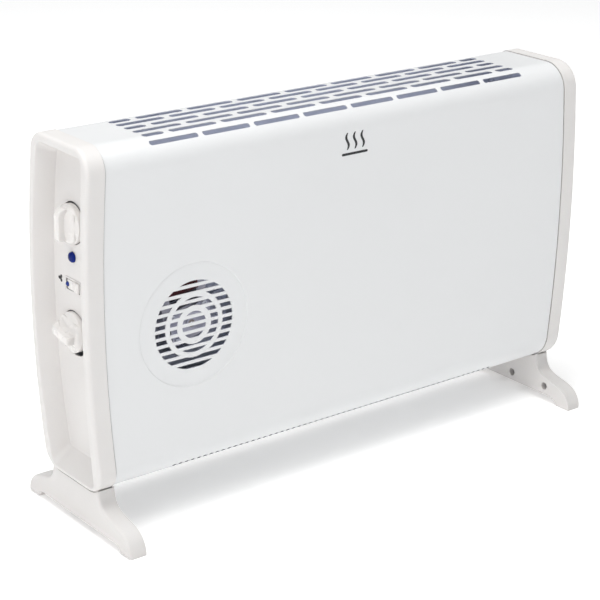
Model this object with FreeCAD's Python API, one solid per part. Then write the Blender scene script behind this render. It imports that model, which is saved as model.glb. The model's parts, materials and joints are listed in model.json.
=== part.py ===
import FreeCAD, Part
import math
import os
from FreeCAD import Vector

# Electric convector heater with a fan: steel body, moulded end caps, two feet, controls on
# the left end cap, finned elements, fan and a coiled mains lead.
# Millimetres. +X runs along the heater's length to its right, +Y to its back, +Z up;
# the origin is on the floor under its centre.

os.makedirs("parts", exist_ok=True)

# ---------------------------------------------------------------- main dimensions
HEIGHT = 400.0                  # floor to the top of the end caps
CAP_BOTTOM = 48.0               # underside of the end caps
HALF_DEPTH = 53.1               # half the end cap's depth, front to back
R_TOP_FRONT, R_BOTTOM_FRONT = 27.7, 29.0     # corners of the section
R_TOP_REAR, R_BOTTOM_REAR = 17.0, 21.0
CAP_REACH = 324.6               # centre to the cap's outer face, at its fullest
BOW_Z, BOW_R = 240.0, 1640.0    # centre height and radius of the cap's bowed face
CAP_WIDTH = 20.0                # cap, outer face to seam
CAP_WALL = 2.4
RIM_R = 4.2                     # rounding of the cap's outer rim
SEAM = 0.8                      # gap between steel and cap
RECESS_DEPTH = 18.5             # recess in the cap's face; its floor keeps the cap's bow
RECESS_WALL = 2.2

STEEL_INSET = 1.0               # steel inside the cap's outline
STEEL_T = 0.8
STEEL_Y = HALF_DEPTH-STEEL_INSET          # outer surface, front (-) and back (+)
STEEL_INNER_Y = STEEL_Y-STEEL_T
STEEL_TOP = HEIGHT-STEEL_INSET
STEEL_BOTTOM = CAP_BOTTOM+STEEL_INSET

BACK_SCREW_Z = (96.0, 220.0, 344.0)       # back panel into the caps
FOOT_BOLT_X = -299.0
FOOT_BOLT_Y = (-18.0, 18.0)

# Controls, on the left cap's recess floor
CTRL_Y = 0.0
SELECTOR_Z, SELECTOR_R, SELECTOR_FACE_X = 317.0, 20.0, -304.3
THERMOSTAT_Z, THERMOSTAT_R, THERMOSTAT_FACE_X = 207.0, 20.5, -305.8
THERMOSTAT_TILT = 79.0          # grip, degrees from upright towards the back
KNOB_HOLES = [(317.5, 21.0), (205.2, 23.2)]            # z, radius
LENS_Z, LENS_R, LENS_FACE_X = 283.4, 5.3, -305.5
ROCKER_Z, ROCKER_LENGTH, ROCKER_WIDTH = 253.9, 25.4, 11.6
ROCKER_FACE_X = -306.1
ROCKER_TILT = 7.0
BRACKET_X = -293.0              # bracket's outer face
BRACKET_SCREWS = [(-20.0, 352.0), (20.0, 352.0), (-21.0, 236.0),       # y, z
                  (21.0, 236.0), (-20.0, 176.0), (20.0, 176.0)]

GRILLE_X, GRILLE_Z = -200.9, 206.4        # fan grille's centre
PARTITION_LEFT_X, PARTITION_RIGHT_X = -262.0, 283.0    # outboard faces
ELEMENT_Y = (-12.0, 12.0)
ELEMENT_Z = 110.0
CORD_X, CORD_Z = -273.0, 96.0             # where the mains lead leaves the back

RIGHT, LEFT = (1, 0, 0), (-1, 0, 0)
BACKWARD, FORWARD = (0, 1, 0), (0, -1, 0)
UP = (0, 0, 1)

parts = {}


# ---------------------------------------------------------------- helpers
def box(x0, y0, z0, x1, y1, z1):
    """Box between two opposite corners, in any order."""
    low = Vector(min(x0, x1), min(y0, y1), min(z0, z1))
    return Part.makeBox(abs(x1-x0), abs(y1-y0), abs(z1-z0), low)


def cylinder(x, y, z, radius, length, direction):
    return Part.makeCylinder(radius, length, Vector(x, y, z), Vector(*direction))


def line(start, end):
    return Part.makeLine(start, end)


def arc(start, middle, end):
    return Part.Arc(start, middle, end).toShape()


def spline(points):
    curve = Part.BSplineCurve()
    curve.interpolate(points)
    return curve.toShape()


def polygon_face(points):
    return Part.Face(Part.makePolygon(points+points[:1]))


def fuse(shapes):
    return shapes[0].multiFuse(shapes[1:]).removeSplitter()


def group(shapes):
    return Part.makeCompound([solid for shape in shapes for solid in shape.Solids])


def mirror(shape):
    return shape.mirror(Vector(0, 0, 0), Vector(1, 0, 0))


def placed(shape, position, axis=None, degrees=0.0):
    """Copy turned about an axis through the origin, then moved."""
    copy = shape.copy()
    if axis is not None:
        copy.rotate(Vector(0, 0, 0), Vector(*axis), degrees)
    copy.translate(Vector(*position))
    return copy


def points_on(edge, fractions):
    span = edge.LastParameter-edge.FirstParameter
    return [edge.valueAt(edge.FirstParameter+t*span) for t in fractions]


def round_along(shape, axis, radius):
    """Fillet the edges that run along "x", "y" or "z"."""
    edges = [edge for edge in shape.Edges
             if abs(getattr(edge.tangentAt(edge.FirstParameter), axis)) > 0.9]
    return shape.makeFillet(radius, edges)


def fillet_largest(shape, edges, radii):
    """Fillet with the first radius that gives one valid solid, else leave the shape sharp."""
    for radius in radii:
        # The kernel may refuse a radius on tight edges; the next smaller one is then used.
        try:
            rounded = shape.makeFillet(radius, edges)
            if rounded.isValid() and len(rounded.Solids) == 1:
                return rounded
        except Exception:
            continue
    return shape


def round_wire(x, y0, y1, z0, z1, r_bottom, r_top, r_bottom1=None, r_top1=None):
    """Rounded rectangle in the plane x; the first two radii are at y0, the others at y1."""
    r_bottom1 = r_bottom if r_bottom1 is None else r_bottom1
    r_top1 = r_top if r_top1 is None else r_top1

    def corner(y, z, radius, start, end):
        k = math.sqrt(0.5)
        middle = (k*(start[0]+end[0]), k*(start[1]+end[1]))
        return arc(*[Vector(x, y+radius*u, z+radius*v) for u, v in (start, middle, end)])

    return Part.Wire([
        line(Vector(x, y0+r_bottom, z0), Vector(x, y1-r_bottom1, z0)),
        corner(y1-r_bottom1, z0+r_bottom1, r_bottom1, (0, -1), (1, 0)),
        line(Vector(x, y1, z0+r_bottom1), Vector(x, y1, z1-r_top1)),
        corner(y1-r_top1, z1-r_top1, r_top1, (1, 0), (0, 1)),
        line(Vector(x, y1-r_top1, z1), Vector(x, y0+r_top, z1)),
        corner(y0+r_top, z1-r_top, r_top, (0, 1), (-1, 0)),
        line(Vector(x, y0, z1-r_top), Vector(x, y0, z0+r_bottom)),
        corner(y0+r_bottom, z0+r_bottom, r_bottom, (-1, 0), (0, -1))])


def outline(inset, x0, x1):
    """Prism of the heater's section, set in from the end cap's outline."""
    wire = round_wire(x0, -HALF_DEPTH+inset, HALF_DEPTH-inset, CAP_BOTTOM+inset, HEIGHT-inset,
                      R_BOTTOM_FRONT-inset, R_TOP_FRONT-inset,
                      R_BOTTOM_REAR-inset, R_TOP_REAR-inset)
    return Part.Face(wire).extrude(Vector(x1-x0, 0, 0))


def bow(z, inset=0.0):
    """Distance from the centre to the cap's bowed outer face, less an inset."""
    return CAP_REACH-inset-BOW_R+math.sqrt(BOW_R**2-(z-BOW_Z)**2)


def bow_slab(outer_inset, inner_inset):
    """Left-hand slab between two bowed surfaces set in from the cap's outer face."""
    z0, z1 = 20.0, 430.0

    def at(inset, z):
        return Vector(-bow(z, inset), -120, z)

    middle = (z0+z1)/2
    wire = Part.Wire([
        arc(at(outer_inset, z0), at(outer_inset, middle), at(outer_inset, z1)),
        line(at(outer_inset, z1), at(inner_inset, z1)),
        arc(at(inner_inset, z1), at(inner_inset, middle), at(inner_inset, z0)),
        line(at(inner_inset, z0), at(outer_inset, z0))])
    return Part.Face(wire).extrude(Vector(0, 240, 0))


def stadium(length, width, depth):
    """Round-ended slot along X, centred, running -depth..depth in Z."""
    r = width/2
    end = length/2

    def at(x, y):
        return Vector(x, y, -depth)

    wire = Part.Wire([
        line(at(-end+r, -r), at(end-r, -r)),
        arc(at(end-r, -r), at(end, 0), at(end-r, r)),
        line(at(end-r, r), at(-end+r, r)),
        arc(at(-end+r, r), at(-end, 0), at(-end+r, -r))])
    return Part.Face(wire).extrude(Vector(0, 0, 2*depth))


def rounded_slot(length, width, depth, radius):
    block = Part.makeBox(length, width, 2*depth, Vector(-length/2, -width/2, -depth))
    return round_along(block, "z", radius)


def tube(points, radius, bends):
    """Round bar along a polyline; bends holds the bend radius at each inner corner."""
    points = [Vector(*point) for point in points]
    pieces = []
    current = points[0]
    for before, corner, after, bend in zip(points, points[1:], points[2:], bends):
        incoming = (corner-before).normalize()
        outgoing = (after-corner).normalize()
        angle = incoming.getAngle(outgoing)
        if angle < 0.01:
            continue
        setback = bend*math.tan(angle/2)
        start = corner-incoming*setback
        normal = incoming.cross(outgoing).normalize()
        centre = start+normal.cross(incoming)*bend
        run = start-current
        if run.Length > 1e-4:
            pieces.append(Part.makeCylinder(radius, run.Length, current, run))
        disc = Part.Face(Part.Wire([Part.makeCircle(radius, start, incoming)]))
        pieces.append(disc.revolve(centre, normal, math.degrees(angle)))
        current = corner+outgoing*setback
    run = points[-1]-current
    pieces.append(Part.makeCylinder(radius, run.Length, current, run))
    return pieces[0].multiFuse(pieces[1:])


def screw(x, y, z, direction, length, radius=1.45, head_r=3.4, head_h=1.9):
    """Cross-head screw: x, y, z is the head's underside; the shank runs along direction."""
    along = Vector(*direction)
    seat = Vector(x, y, z)
    crown = seat-along*head_h
    head = Part.makeCylinder(head_r, head_h, crown, along)
    rim = [edge for edge in head.Edges
           if edge.Closed and (edge.CenterOfMass-crown).Length < 1e-3]
    head = head.makeFillet(head_h*0.55, rim)
    tip_length = 1.5
    shank = Part.makeCylinder(radius, length-tip_length, seat, along)
    tip = Part.makeCone(radius, radius*0.35, tip_length, seat+along*(length-tip_length), along)
    result = fuse([head, shank, tip])
    above = seat-along*(head_h+0.01)
    up = Vector(0, 0, 1) if abs(along.z) < 0.5 else Vector(1, 0, 0)
    side = along.cross(up)
    for reach, across in ((up, side), (side, up)):
        corner = above-reach*(head_r*0.55)-across*0.4
        far = corner+reach*head_r*1.1
        face = polygon_face([corner, far, far+across*0.8, corner+across*0.8])
        result = result.cut(face.extrude(along*(head_h*0.6)))
    return result


def turned(points, face_x, z):
    """Revolve (height, radius) points about X at a control; height runs outwards, to -X."""
    profile = [Vector(face_x-height, CTRL_Y, z+radius) for height, radius in points]
    return polygon_face(profile).revolve(Vector(face_x, CTRL_Y, z), Vector(1, 0, 0), 360)


def rocker_box(x0, x1, margin_y, margin_z):
    """Box round the rocker's opening, with a margin on each side."""
    half_y = ROCKER_LENGTH/2+margin_y
    half_z = ROCKER_WIDTH/2+margin_z
    return box(x0, CTRL_Y-half_y, ROCKER_Z-half_z, x1, CTRL_Y+half_y, ROCKER_Z+half_z)


# ---------------------------------------------------------------- end caps
def back_screw_x(z):
    return bow(z, CAP_WIDTH+4.4)


def recess(grow):
    """Tapered recess in the left cap with a bowed floor; grow > 0 gives the skin behind it."""
    def section(x, r_bottom, r_top):
        half = 35.5+0.49*(-x-306.1)+grow*1.1
        top = 382.7+0.49*(-x-299.0)+grow*1.1
        bottom = 72.0-1.15*(-x-297.5)-grow*1.4
        return round_wire(x, -half, half, bottom, top, r_bottom+grow, r_top+grow)

    sections = [section(-286.0, 2.5, 2.5), section(-326.0, 9.0, 10.0)]
    return Part.makeLoft(sections, True, True).common(bow_slab(-14.0, RECESS_DEPTH+grow))


def cap_block():
    """Solid end of the cap with its rounded rim and recess."""
    outer = outline(0.0, -330.0, -280.0).common(bow_slab(0.0, CAP_WIDTH+16.0))
    rim = [edge for edge in outer.Edges
           if all(abs(p.x+bow(p.z)) < 0.05 for p in points_on(edge, (0.02, 0.5, 0.98)))]
    outer = outer.makeFillet(RIM_R, rim)
    cutter = recess(0.0)
    outer = outer.cut(cutter)

    def at_mouth(p):
        return (abs(p.x+bow(p.z)) < 0.06 and abs(p.y) < 50.0
                and cutter.distToShape(Part.Vertex(p))[0] < 0.01)

    mouth = [edge for edge in outer.Edges
             if all(at_mouth(p) for p in points_on(edge, (0.1, 0.5, 0.9)))]
    return fillet_largest(outer, mouth, (1.6, 1.0, 0.6))


def make_cap():
    """Left cap without its control openings."""
    outer = cap_block()
    cavity = outline(CAP_WALL, -330.0, -250.0).common(bow_slab(CAP_WALL, 60.0))
    cavity = cavity.cut(recess(RECESS_WALL))
    inboard = outline(-1.0, -331.0, -250.0).common(bow_slab(CAP_WIDTH, 70.0))
    inboard = inboard.cut(recess(RECESS_WALL))
    cap = outer.cut(cavity).cut(inboard)
    # spigot that enters the steel body
    spigot = outline(2.0, -330.0, -250.0).cut(outline(4.0, -331.0, -249.0))
    cap = cap.fuse(spigot.common(bow_slab(CAP_WIDTH-3.0, CAP_WIDTH+8.0)))
    # lugs behind the back panel's screws
    for z in BACK_SCREW_Z:
        x = -back_screw_x(z)
        lug = cylinder(x, 40.0, z, 4.0, 9.6, BACKWARD)
        cap = cap.fuse(lug.fuse(box(x-3.4, 47.5, z-4, x+3.4, 50.0, z+4)))
    # columns over the foot bolts
    for y in FOOT_BOLT_Y:
        cap = cap.fuse(cylinder(FOOT_BOLT_X, y, CAP_BOTTOM+1.5, 4.2, 11.0, UP))
    cap = cap.removeSplitter()
    for z in BACK_SCREW_Z:
        cap = cap.cut(cylinder(-back_screw_x(z), 38.0, z, 1.5, 20.0, BACKWARD))
    for y in FOOT_BOLT_Y:
        cap = cap.cut(cylinder(FOOT_BOLT_X, y, CAP_BOTTOM-2, 1.85, 16.0, UP))
    return cap


def with_controls(cap):
    """Add the control openings and the bosses that carry the bracket."""
    openings = [cylinder(-312, CTRL_Y, z, radius, 14, RIGHT)
                for z, radius in KNOB_HOLES+[(LENS_Z, LENS_R+0.15)]]
    openings.append(rocker_box(-312, -298, 0.9, 0.9))
    cap = cap.cut(openings)
    bosses = []
    pilots = []
    for y, z in BRACKET_SCREWS:
        floor = bow(z, RECESS_DEPTH)
        bosses.append(cylinder(-(floor-1.1), y, z, 3.4, floor-1.1+BRACKET_X, RIGHT))
        pilots.append(cylinder(-(floor-2.9), y, z, 1.5, 20, RIGHT))
    return cap.multiFuse(bosses).cut(pilots)


plain_cap = make_cap()
parts["end_cap_left"] = with_controls(plain_cap)
parts["end_cap_right"] = mirror(plain_cap)

# ---------------------------------------------------------------- steel body
JOIN_Z, JOIN_Y = 362.0, -6.0              # front and back sheets meet here
FLANGE_SCREW_X = (-240.0, -80.0, 80.0, 240.0)
FLANGE_SCREW_Z = JOIN_Z-6                 # in the upper flange, on the back
FLANGE_SCREW_Y = JOIN_Y+6                 # in the lower flange, underneath

DISH_R, DISH_DEPTH = 64.0, 0.7            # shallow pressed dish round the grille
GRILLE_ZONES = [(0.0, 14.2), (20.2, 28.9), (34.2, 46.1)]     # inner, outer radius
GRILLE_PITCH, GRILLE_SLOT, GRILLE_BAND_Z = 8.0, 4.6, 207.4

SLOT_PITCH, SLOT_LENGTH, SLOT_WIDTH = 61.2, 54.6, 8.0        # top outlets
TOP_ROWS_Y = [-26.4, -11.4, 3.5, 18.0, 31.2]
EDGE_ROW_DEG, EDGE_ROW_WIDTH = 33.5, 5.8  # outlet row on the front's rounded upper edge
SLOT_X = [(i-3.5)*SLOT_PITCH for i in range(8)]

INLET_PITCH, INLET_LENGTH, INLET_WIDTH = 7.6, 5.2, 3.8       # front's lower edge
INLET_X0, INLET_X1 = -225.0, 220.0
INLET_DEG = (47.0, 60.0)

BEAD_X = (-120.0, 40.0, 200.0)


def steel_ring():
    """Full steel wrap, with bowed ends one seam short of the caps."""
    end = bow_slab(CAP_WIDTH+SEAM, CAP_WIDTH+80)
    extent = box(-290, -120, 0, 290, 120, 430).fuse(end).fuse(mirror(end))
    ring = outline(STEEL_INSET, -330, 330).cut(outline(STEEL_INSET+STEEL_T, -331, 331))
    return ring.common(extent).removeSplitter()


def flange_holes(radius):
    upper = [cylinder(x, 45, FLANGE_SCREW_Z, radius, 12, BACKWARD) for x in FLANGE_SCREW_X]
    lower = [cylinder(x, FLANGE_SCREW_Y, 40, radius, 20, UP) for x in FLANGE_SCREW_X]
    return upper+lower


def top_outlets():
    """Full rows alternate with rows half a pitch on that end in short slots."""
    full = stadium(SLOT_LENGTH, SLOT_WIDTH, 8.0)
    short_length = (SLOT_LENGTH-6.6)/2
    short = stadium(short_length, SLOT_WIDTH, 8.0)
    short_x = 3.5*SLOT_PITCH+SLOT_LENGTH/2-short_length/2
    slots = []
    for i, y in enumerate(TOP_ROWS_Y):
        if i % 2 == 1:
            slots += [placed(full, (x, y, STEEL_TOP)) for x in SLOT_X]
        else:
            slots += [placed(full, ((j-3)*SLOT_PITCH, y, STEEL_TOP)) for j in range(7)]
            slots += [placed(short, (side*short_x, y, STEEL_TOP)) for side in (-1, 1)]
    return slots


def upper_edge_outlets():
    angle = math.radians(EDGE_ROW_DEG)
    radius = R_TOP_FRONT-STEEL_INSET
    y = -STEEL_Y+radius-radius*math.sin(angle)
    z = STEEL_TOP-radius+radius*math.cos(angle)
    slot = rounded_slot(SLOT_LENGTH+0.8, EDGE_ROW_WIDTH, 5.0, 2.3)
    return [placed(slot, (x, y, z), RIGHT, EDGE_ROW_DEG) for x in SLOT_X]


def lower_edge_inlets():
    """Two rows of small slots; the second is half a pitch on and one shorter."""
    radius = R_BOTTOM_FRONT-STEEL_INSET
    slot = rounded_slot(INLET_LENGTH, INLET_WIDTH, 4.0, 1.2)
    count = int((INLET_X1-INLET_X0)/INLET_PITCH)
    slots = []
    for row, degrees in enumerate(INLET_DEG):
        angle = math.radians(degrees)
        y = -STEEL_Y+radius-radius*math.cos(angle)
        z = STEEL_BOTTOM+radius-radius*math.sin(angle)
        for i in range(count-row):
            x = INLET_X0+(i+0.5*row+0.5)*INLET_PITCH
            slots.append(placed(slot, (x, y, z), RIGHT, 90.0+degrees))
    return slots


def grille_slots():
    """Level slots, kept within three concentric zones."""
    bands = []
    for i in range(12):
        z = GRILLE_BAND_Z+(i-5.5)*GRILLE_PITCH
        bands.append(box(GRILLE_X-60, -70, z-GRILLE_SLOT/2, GRILLE_X+60, -40, z+GRILLE_SLOT/2))
    bands = Part.makeCompound(bands)
    slots = []
    for inner, outer in GRILLE_ZONES:
        zone = cylinder(GRILLE_X, -70, GRILLE_Z, outer, 30, BACKWARD)
        if inner > 0:
            zone = zone.cut(cylinder(GRILLE_X, -71, GRILLE_Z, inner, 32, BACKWARD))
        # slivers at a zone's edge are left uncut
        slots += [solid for solid in bands.common(zone).Solids if solid.Volume > 8.0]
    return slots


def front_panel(ring):
    panel = ring.cut(box(-340, JOIN_Y, 0, 340, 80, JOIN_Z))
    # joggled flanges inside the back sheet
    panel = panel.fuse(box(-280, STEEL_INNER_Y-0.8, JOIN_Z-12, 280, STEEL_INNER_Y, JOIN_Z+6))
    floor = STEEL_BOTTOM+STEEL_T
    panel = panel.fuse(box(-280, JOIN_Y-6, floor, 280, JOIN_Y+12, floor+0.8))
    panel = panel.removeSplitter()
    dish = Part.makeCone(DISH_R+0.7, DISH_R, DISH_DEPTH,
                         Vector(GRILLE_X, -STEEL_Y, GRILLE_Z), Vector(0, 1, 0))
    dish_back = Part.makeCone(DISH_R+1.5, DISH_R+0.7, DISH_DEPTH,
                              Vector(GRILLE_X, -STEEL_INNER_Y, GRILLE_Z), Vector(0, 1, 0))
    panel = panel.fuse(dish_back).cut(dish).removeSplitter()
    panel = panel.cut(top_outlets()+upper_edge_outlets()+lower_edge_inlets()+grille_slots())
    return panel.cut(flange_holes(1.55))


def back_panel(ring):
    panel = ring.common(box(-340, JOIN_Y+0.5, 0, 340, 80, JOIN_Z-0.5))
    # slots underneath, then low on the back
    cuts = [placed(stadium(34.0, 5.0, 6.0), ((i-5.5)*42.0, y, STEEL_BOTTOM))
            for y in (14.0, 24.0) for i in range(12)]
    cuts += [placed(stadium(30.0, 4.0, 6.0), ((i-5.0)*40.0+10, STEEL_Y, z), RIGHT, 90)
             for z in (100.0, 112.0, 124.0) for i in range(11)]
    cuts += [cylinder(side*back_screw_x(z), 45, z, 1.75, 12, BACKWARD)
             for z in BACK_SCREW_Z for side in (-1, 1)]
    cuts += flange_holes(1.75)
    cuts.append(cylinder(CORD_X, 45, CORD_Z, 6.6, 12, BACKWARD))
    panel = panel.cut(cuts)
    # upright beads: a rib on the inner face behind a groove in the outer one
    for x in BEAD_X:
        panel = panel.fuse(box(x-5, STEEL_INNER_Y-1.2, 150, x+5, STEEL_INNER_Y, 335))
    panel = panel.removeSplitter()
    for x in BEAD_X:
        groove = stadium(183.0, 7.0, 1.2)
        groove.rotate(Vector(0, 0, 0), Vector(0, 1, 0), 90)      # length along Z
        groove.rotate(Vector(0, 0, 0), Vector(0, 0, 1), 90)      # depth along Y
        groove.translate(Vector(x, STEEL_Y, 242.5))
        panel = panel.cut(groove)
    return panel


def panel_screws():
    screws = [screw(side*back_screw_x(z), STEEL_Y, z, FORWARD, 11.0)
              for z in BACK_SCREW_Z for side in (-1, 1)]
    screws += [screw(x, STEEL_Y, FLANGE_SCREW_Z, FORWARD, 7.0) for x in FLANGE_SCREW_X]
    screws += [screw(x, FLANGE_SCREW_Y, STEEL_BOTTOM, UP, 7.0) for x in FLANGE_SCREW_X]
    return group(screws)


wrap = steel_ring()
parts["front_panel"] = front_panel(wrap)
parts["back_panel"] = back_panel(wrap)
parts["panel_screws"] = panel_screws()

# ---------------------------------------------------------------- mark on the front
MARK_X, MARK_Z0, MARK_Z1 = -1.0, 353.0, 371.0
WAVE_SWAY, WAVE_WIDTH = 1.7, 3.0


def wave(x):
    """Thin upright wavy stroke on the front sheet, narrower at its ends."""
    left, right = [], []
    steps = 12
    for i in range(steps+1):
        t = i/steps
        centre = x+WAVE_SWAY*math.sin(2*math.pi*t)
        z = MARK_Z0+(MARK_Z1-MARK_Z0)*t
        half = WAVE_WIDTH*(0.35+0.65*math.sin(math.pi*t)**0.5)/2
        left.append(Vector(centre-half, -STEEL_Y, z))
        right.append(Vector(centre+half, -STEEL_Y, z))
    edges = [spline(left), line(left[-1], right[-1]), spline(right), line(right[0], left[0])]
    return Part.Face(Part.Wire(Part.sortEdges(edges)[0])).extrude(Vector(0, -0.15, 0))


mark_bar = placed(stadium(34.0, 2.6, 0.075), (MARK_X, -STEEL_Y-0.075, 348.5), RIGHT, 90)
parts["front_mark"] = group([wave(MARK_X+dx) for dx in (-10.0, 0.0, 10.0)]+[mark_bar])

# ---------------------------------------------------------------- feet
FOOT_OUT_X, FOOT_SPLIT_X, FOOT_IN_X = -310.5, -294.0, -291.5   # foot, joint, cover
COVER_SCREW_Y = [-56.5, -2.7, 51.1]
COVER_SCREW_Z = 17.7
# Front half of the foot's side view: y, z. Points 1 to 11 and 13 to 16 lie on splines.
FOOT_PROFILE = [
    (-41, 60), (-41.2, 50), (-42.6, 42), (-45.6, 36), (-51, 31.6), (-59, 28.6),
    (-68, 26.6), (-77, 24.6), (-85.5, 21.0), (-91.8, 15.8), (-95.8, 9.0), (-97.1, 1.2),
    (-97.1, 0.0), (-77.6, 0.0), (-76.0, 3.2), (-73.2, 5.4), (-69.0, 6.3)]
# The same for the hollow: y, z, a plain polygon.
HOLLOW_PROFILE = [
    (-38.8, 58), (-39.0, 49.8), (-40.3, 41.4), (-44.0, 34.4), (-50.1, 29.5), (-58.4, 26.4),
    (-67.5, 24.4), (-76.2, 22.5), (-84.3, 19.2), (-90.2, 14.3), (-93.6, 8.2), (-94.8, 2.4),
    (-78.8, 2.4), (-77.6, 4.8), (-74.4, 7.4), (-69.3, 8.5)]


def rear_point(y, z):
    """Mirror a front point; the stem's rear edge stands 5 mm further from the middle."""
    shift = 5.0*max(0.0, min(1.0, (77.0+y)/36.0)) if z > 15.0 else 0.0
    return -y+shift, z


def foot_prism(x0, x1):
    front = [Vector(x0, y, z) for y, z in FOOT_PROFILE]
    rear = [Vector(x0, *rear_point(y, z)) for y, z in FOOT_PROFILE]
    edges = [line(front[0], front[1]), spline(front[1:12]), line(front[11], front[12]),
             line(front[12], front[13]), spline(front[13:17]), line(front[16], rear[16]),
             spline(rear[13:17]), line(rear[13], rear[12]), line(rear[12], rear[11]),
             spline(rear[1:12]), line(rear[1], rear[0]), line(rear[0], front[0])]
    wire = Part.Wire(Part.sortEdges(edges)[0])
    # the top is trimmed to the cap's underside, with a hair of clearance
    return Part.Face(wire).extrude(Vector(x1-x0, 0, 0)).cut(outline(-0.12, -340, -280))


def make_foot():
    foot = foot_prism(FOOT_OUT_X, FOOT_SPLIT_X)
    outer_edges = []
    for edge in foot.Edges:
        samples = points_on(edge, (0.05, 0.5, 0.95))
        on_face = all(abs(p.x-FOOT_OUT_X) < 1e-3 for p in samples)
        if on_face and edge.Length > 15 and samples[1].z < 47.0:
            outer_edges.append(edge)
    foot = fillet_largest(foot, outer_edges, (2.6, 2.0, 1.4, 0.8))
    # groove under the cap
    core = box(FOOT_OUT_X+1.0, -39.8, 0, FOOT_SPLIT_X+0.01, 44.8, 80)
    groove = outline(-1.4, -340, -280).cut(core)
    foot = foot.cut(groove.common(box(-340, -60, 40, -280, 60, 60)))
    # hollow, open on the inboard side
    profile = HOLLOW_PROFILE+[rear_point(y, z) for y, z in reversed(HOLLOW_PROFILE)]
    x0 = FOOT_OUT_X+2.4
    hollow = polygon_face([Vector(x0, y, z) for y, z in profile])
    hollow = hollow.extrude(Vector(FOOT_SPLIT_X-x0+1.0, 0, 0))
    foot = foot.cut(hollow.cut(outline(-3.4, -340, -280)))
    for y in COVER_SCREW_Y:
        foot = foot.fuse(cylinder(FOOT_OUT_X+1.6, y, COVER_SCREW_Z, 3.6, 6.9, RIGHT))
    for y in FOOT_BOLT_Y:
        foot = foot.fuse(cylinder(FOOT_BOLT_X, y, 32.0, 4.6, 14.2, UP))
    foot = foot.removeSplitter()
    for y in COVER_SCREW_Y:
        foot = foot.cut(cylinder(FOOT_OUT_X+3.0, y, COVER_SCREW_Z, 1.5, 10, RIGHT))
    for y in FOOT_BOLT_Y:
        foot = foot.cut(cylinder(FOOT_BOLT_X, y, 20.0, 2.2, 40, UP))
        foot = foot.cut(cylinder(FOOT_BOLT_X, y, 2.0, 4.8, 8.0, UP))
    return foot


def make_foot_cover():
    """Plate that closes the foot's inboard side, with sunk screw cups."""
    cover = foot_prism(FOOT_SPLIT_X, FOOT_IN_X).cut(box(-300, -69, 0, -280, 69, 8.6))
    for y in COVER_SCREW_Y:
        cover = cover.fuse(cylinder(FOOT_IN_X-9.0, y, COVER_SCREW_Z, 5.6, 8.0, RIGHT))
    cover = cover.removeSplitter()
    for y in COVER_SCREW_Y:
        cover = cover.cut(cylinder(FOOT_IN_X-7.6, y, COVER_SCREW_Z, 4.4, 12, RIGHT))
        cover = cover.cut(cylinder(FOOT_IN_X-12, y, COVER_SCREW_Z, 1.75, 12, RIGHT))
    return cover


def both_ends(shapes):
    return group(shapes+[mirror(shape) for shape in shapes])


parts["foot_left"] = make_foot()
parts["foot_cover_left"] = make_foot_cover()
parts["foot_right"] = mirror(parts["foot_left"])
parts["foot_cover_right"] = mirror(parts["foot_cover_left"])
parts["foot_cover_screws"] = both_ends(
    [screw(FOOT_IN_X-7.6, y, COVER_SCREW_Z, LEFT, 8.0) for y in COVER_SCREW_Y])
parts["foot_bolts"] = both_ends(
    [screw(FOOT_BOLT_X, y, 32.0, UP, 26.0, radius=1.8, head_r=4.0, head_h=2.4)
     for y in FOOT_BOLT_Y])

# ---------------------------------------------------------------- knobs and their spindles
GRIP_HEIGHT = 18.4              # above the recess floor


def revolved_knob(edges, face_x, z):
    return Part.Face(Part.Wire(edges)).revolve(Vector(face_x, CTRL_Y, z), Vector(1, 0, 0), 360)


def grip(z, radius, face_x):
    """Tapering blade across the knob: its upper end well rounded, the lower nearly square."""
    x_in, x_out = face_x-3.0, face_x-GRIP_HEIGHT
    blade = Part.makeLoft([round_wire(x, CTRL_Y-half, CTRL_Y+half, z-radius-1.0, z+radius+1.0,
                                      1.2, 1.2) for x, half in ((x_in, 5.6), (x_out, 4.2))],
                          True, True)
    top, bottom = z+radius-2.6, z-radius+5.4
    r_top, r_bottom = 8.5, 2.2
    k = 1-math.sqrt(0.5)

    def at(x, z_at):
        return Vector(x, -20, z_at)

    side = Part.Wire([
        line(at(x_in, bottom), at(x_out+r_bottom, bottom)),
        arc(at(x_out+r_bottom, bottom), at(x_out+r_bottom*k, bottom+r_bottom*k),
            at(x_out, bottom+r_bottom)),
        line(at(x_out, bottom+r_bottom), at(x_out, top-r_top)),
        arc(at(x_out, top-r_top), at(x_out+r_top*k, top-r_top*k), at(x_out+r_top, top)),
        line(at(x_out+r_top, top), at(x_in, top)),
        line(at(x_in, top), at(x_in, bottom))])
    blade = blade.common(Part.Face(side).extrude(Vector(0, 40, 0)))
    blade = blade.common(cylinder(-330, CTRL_Y, z, radius-0.4, 40, RIGHT))
    outer = [edge for edge in blade.Edges
             if edge.CenterOfMass.x < face_x-9.5 and edge.Length > 2.0]
    return fillet_largest(blade, outer, (1.3, 0.9, 0.5))


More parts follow.
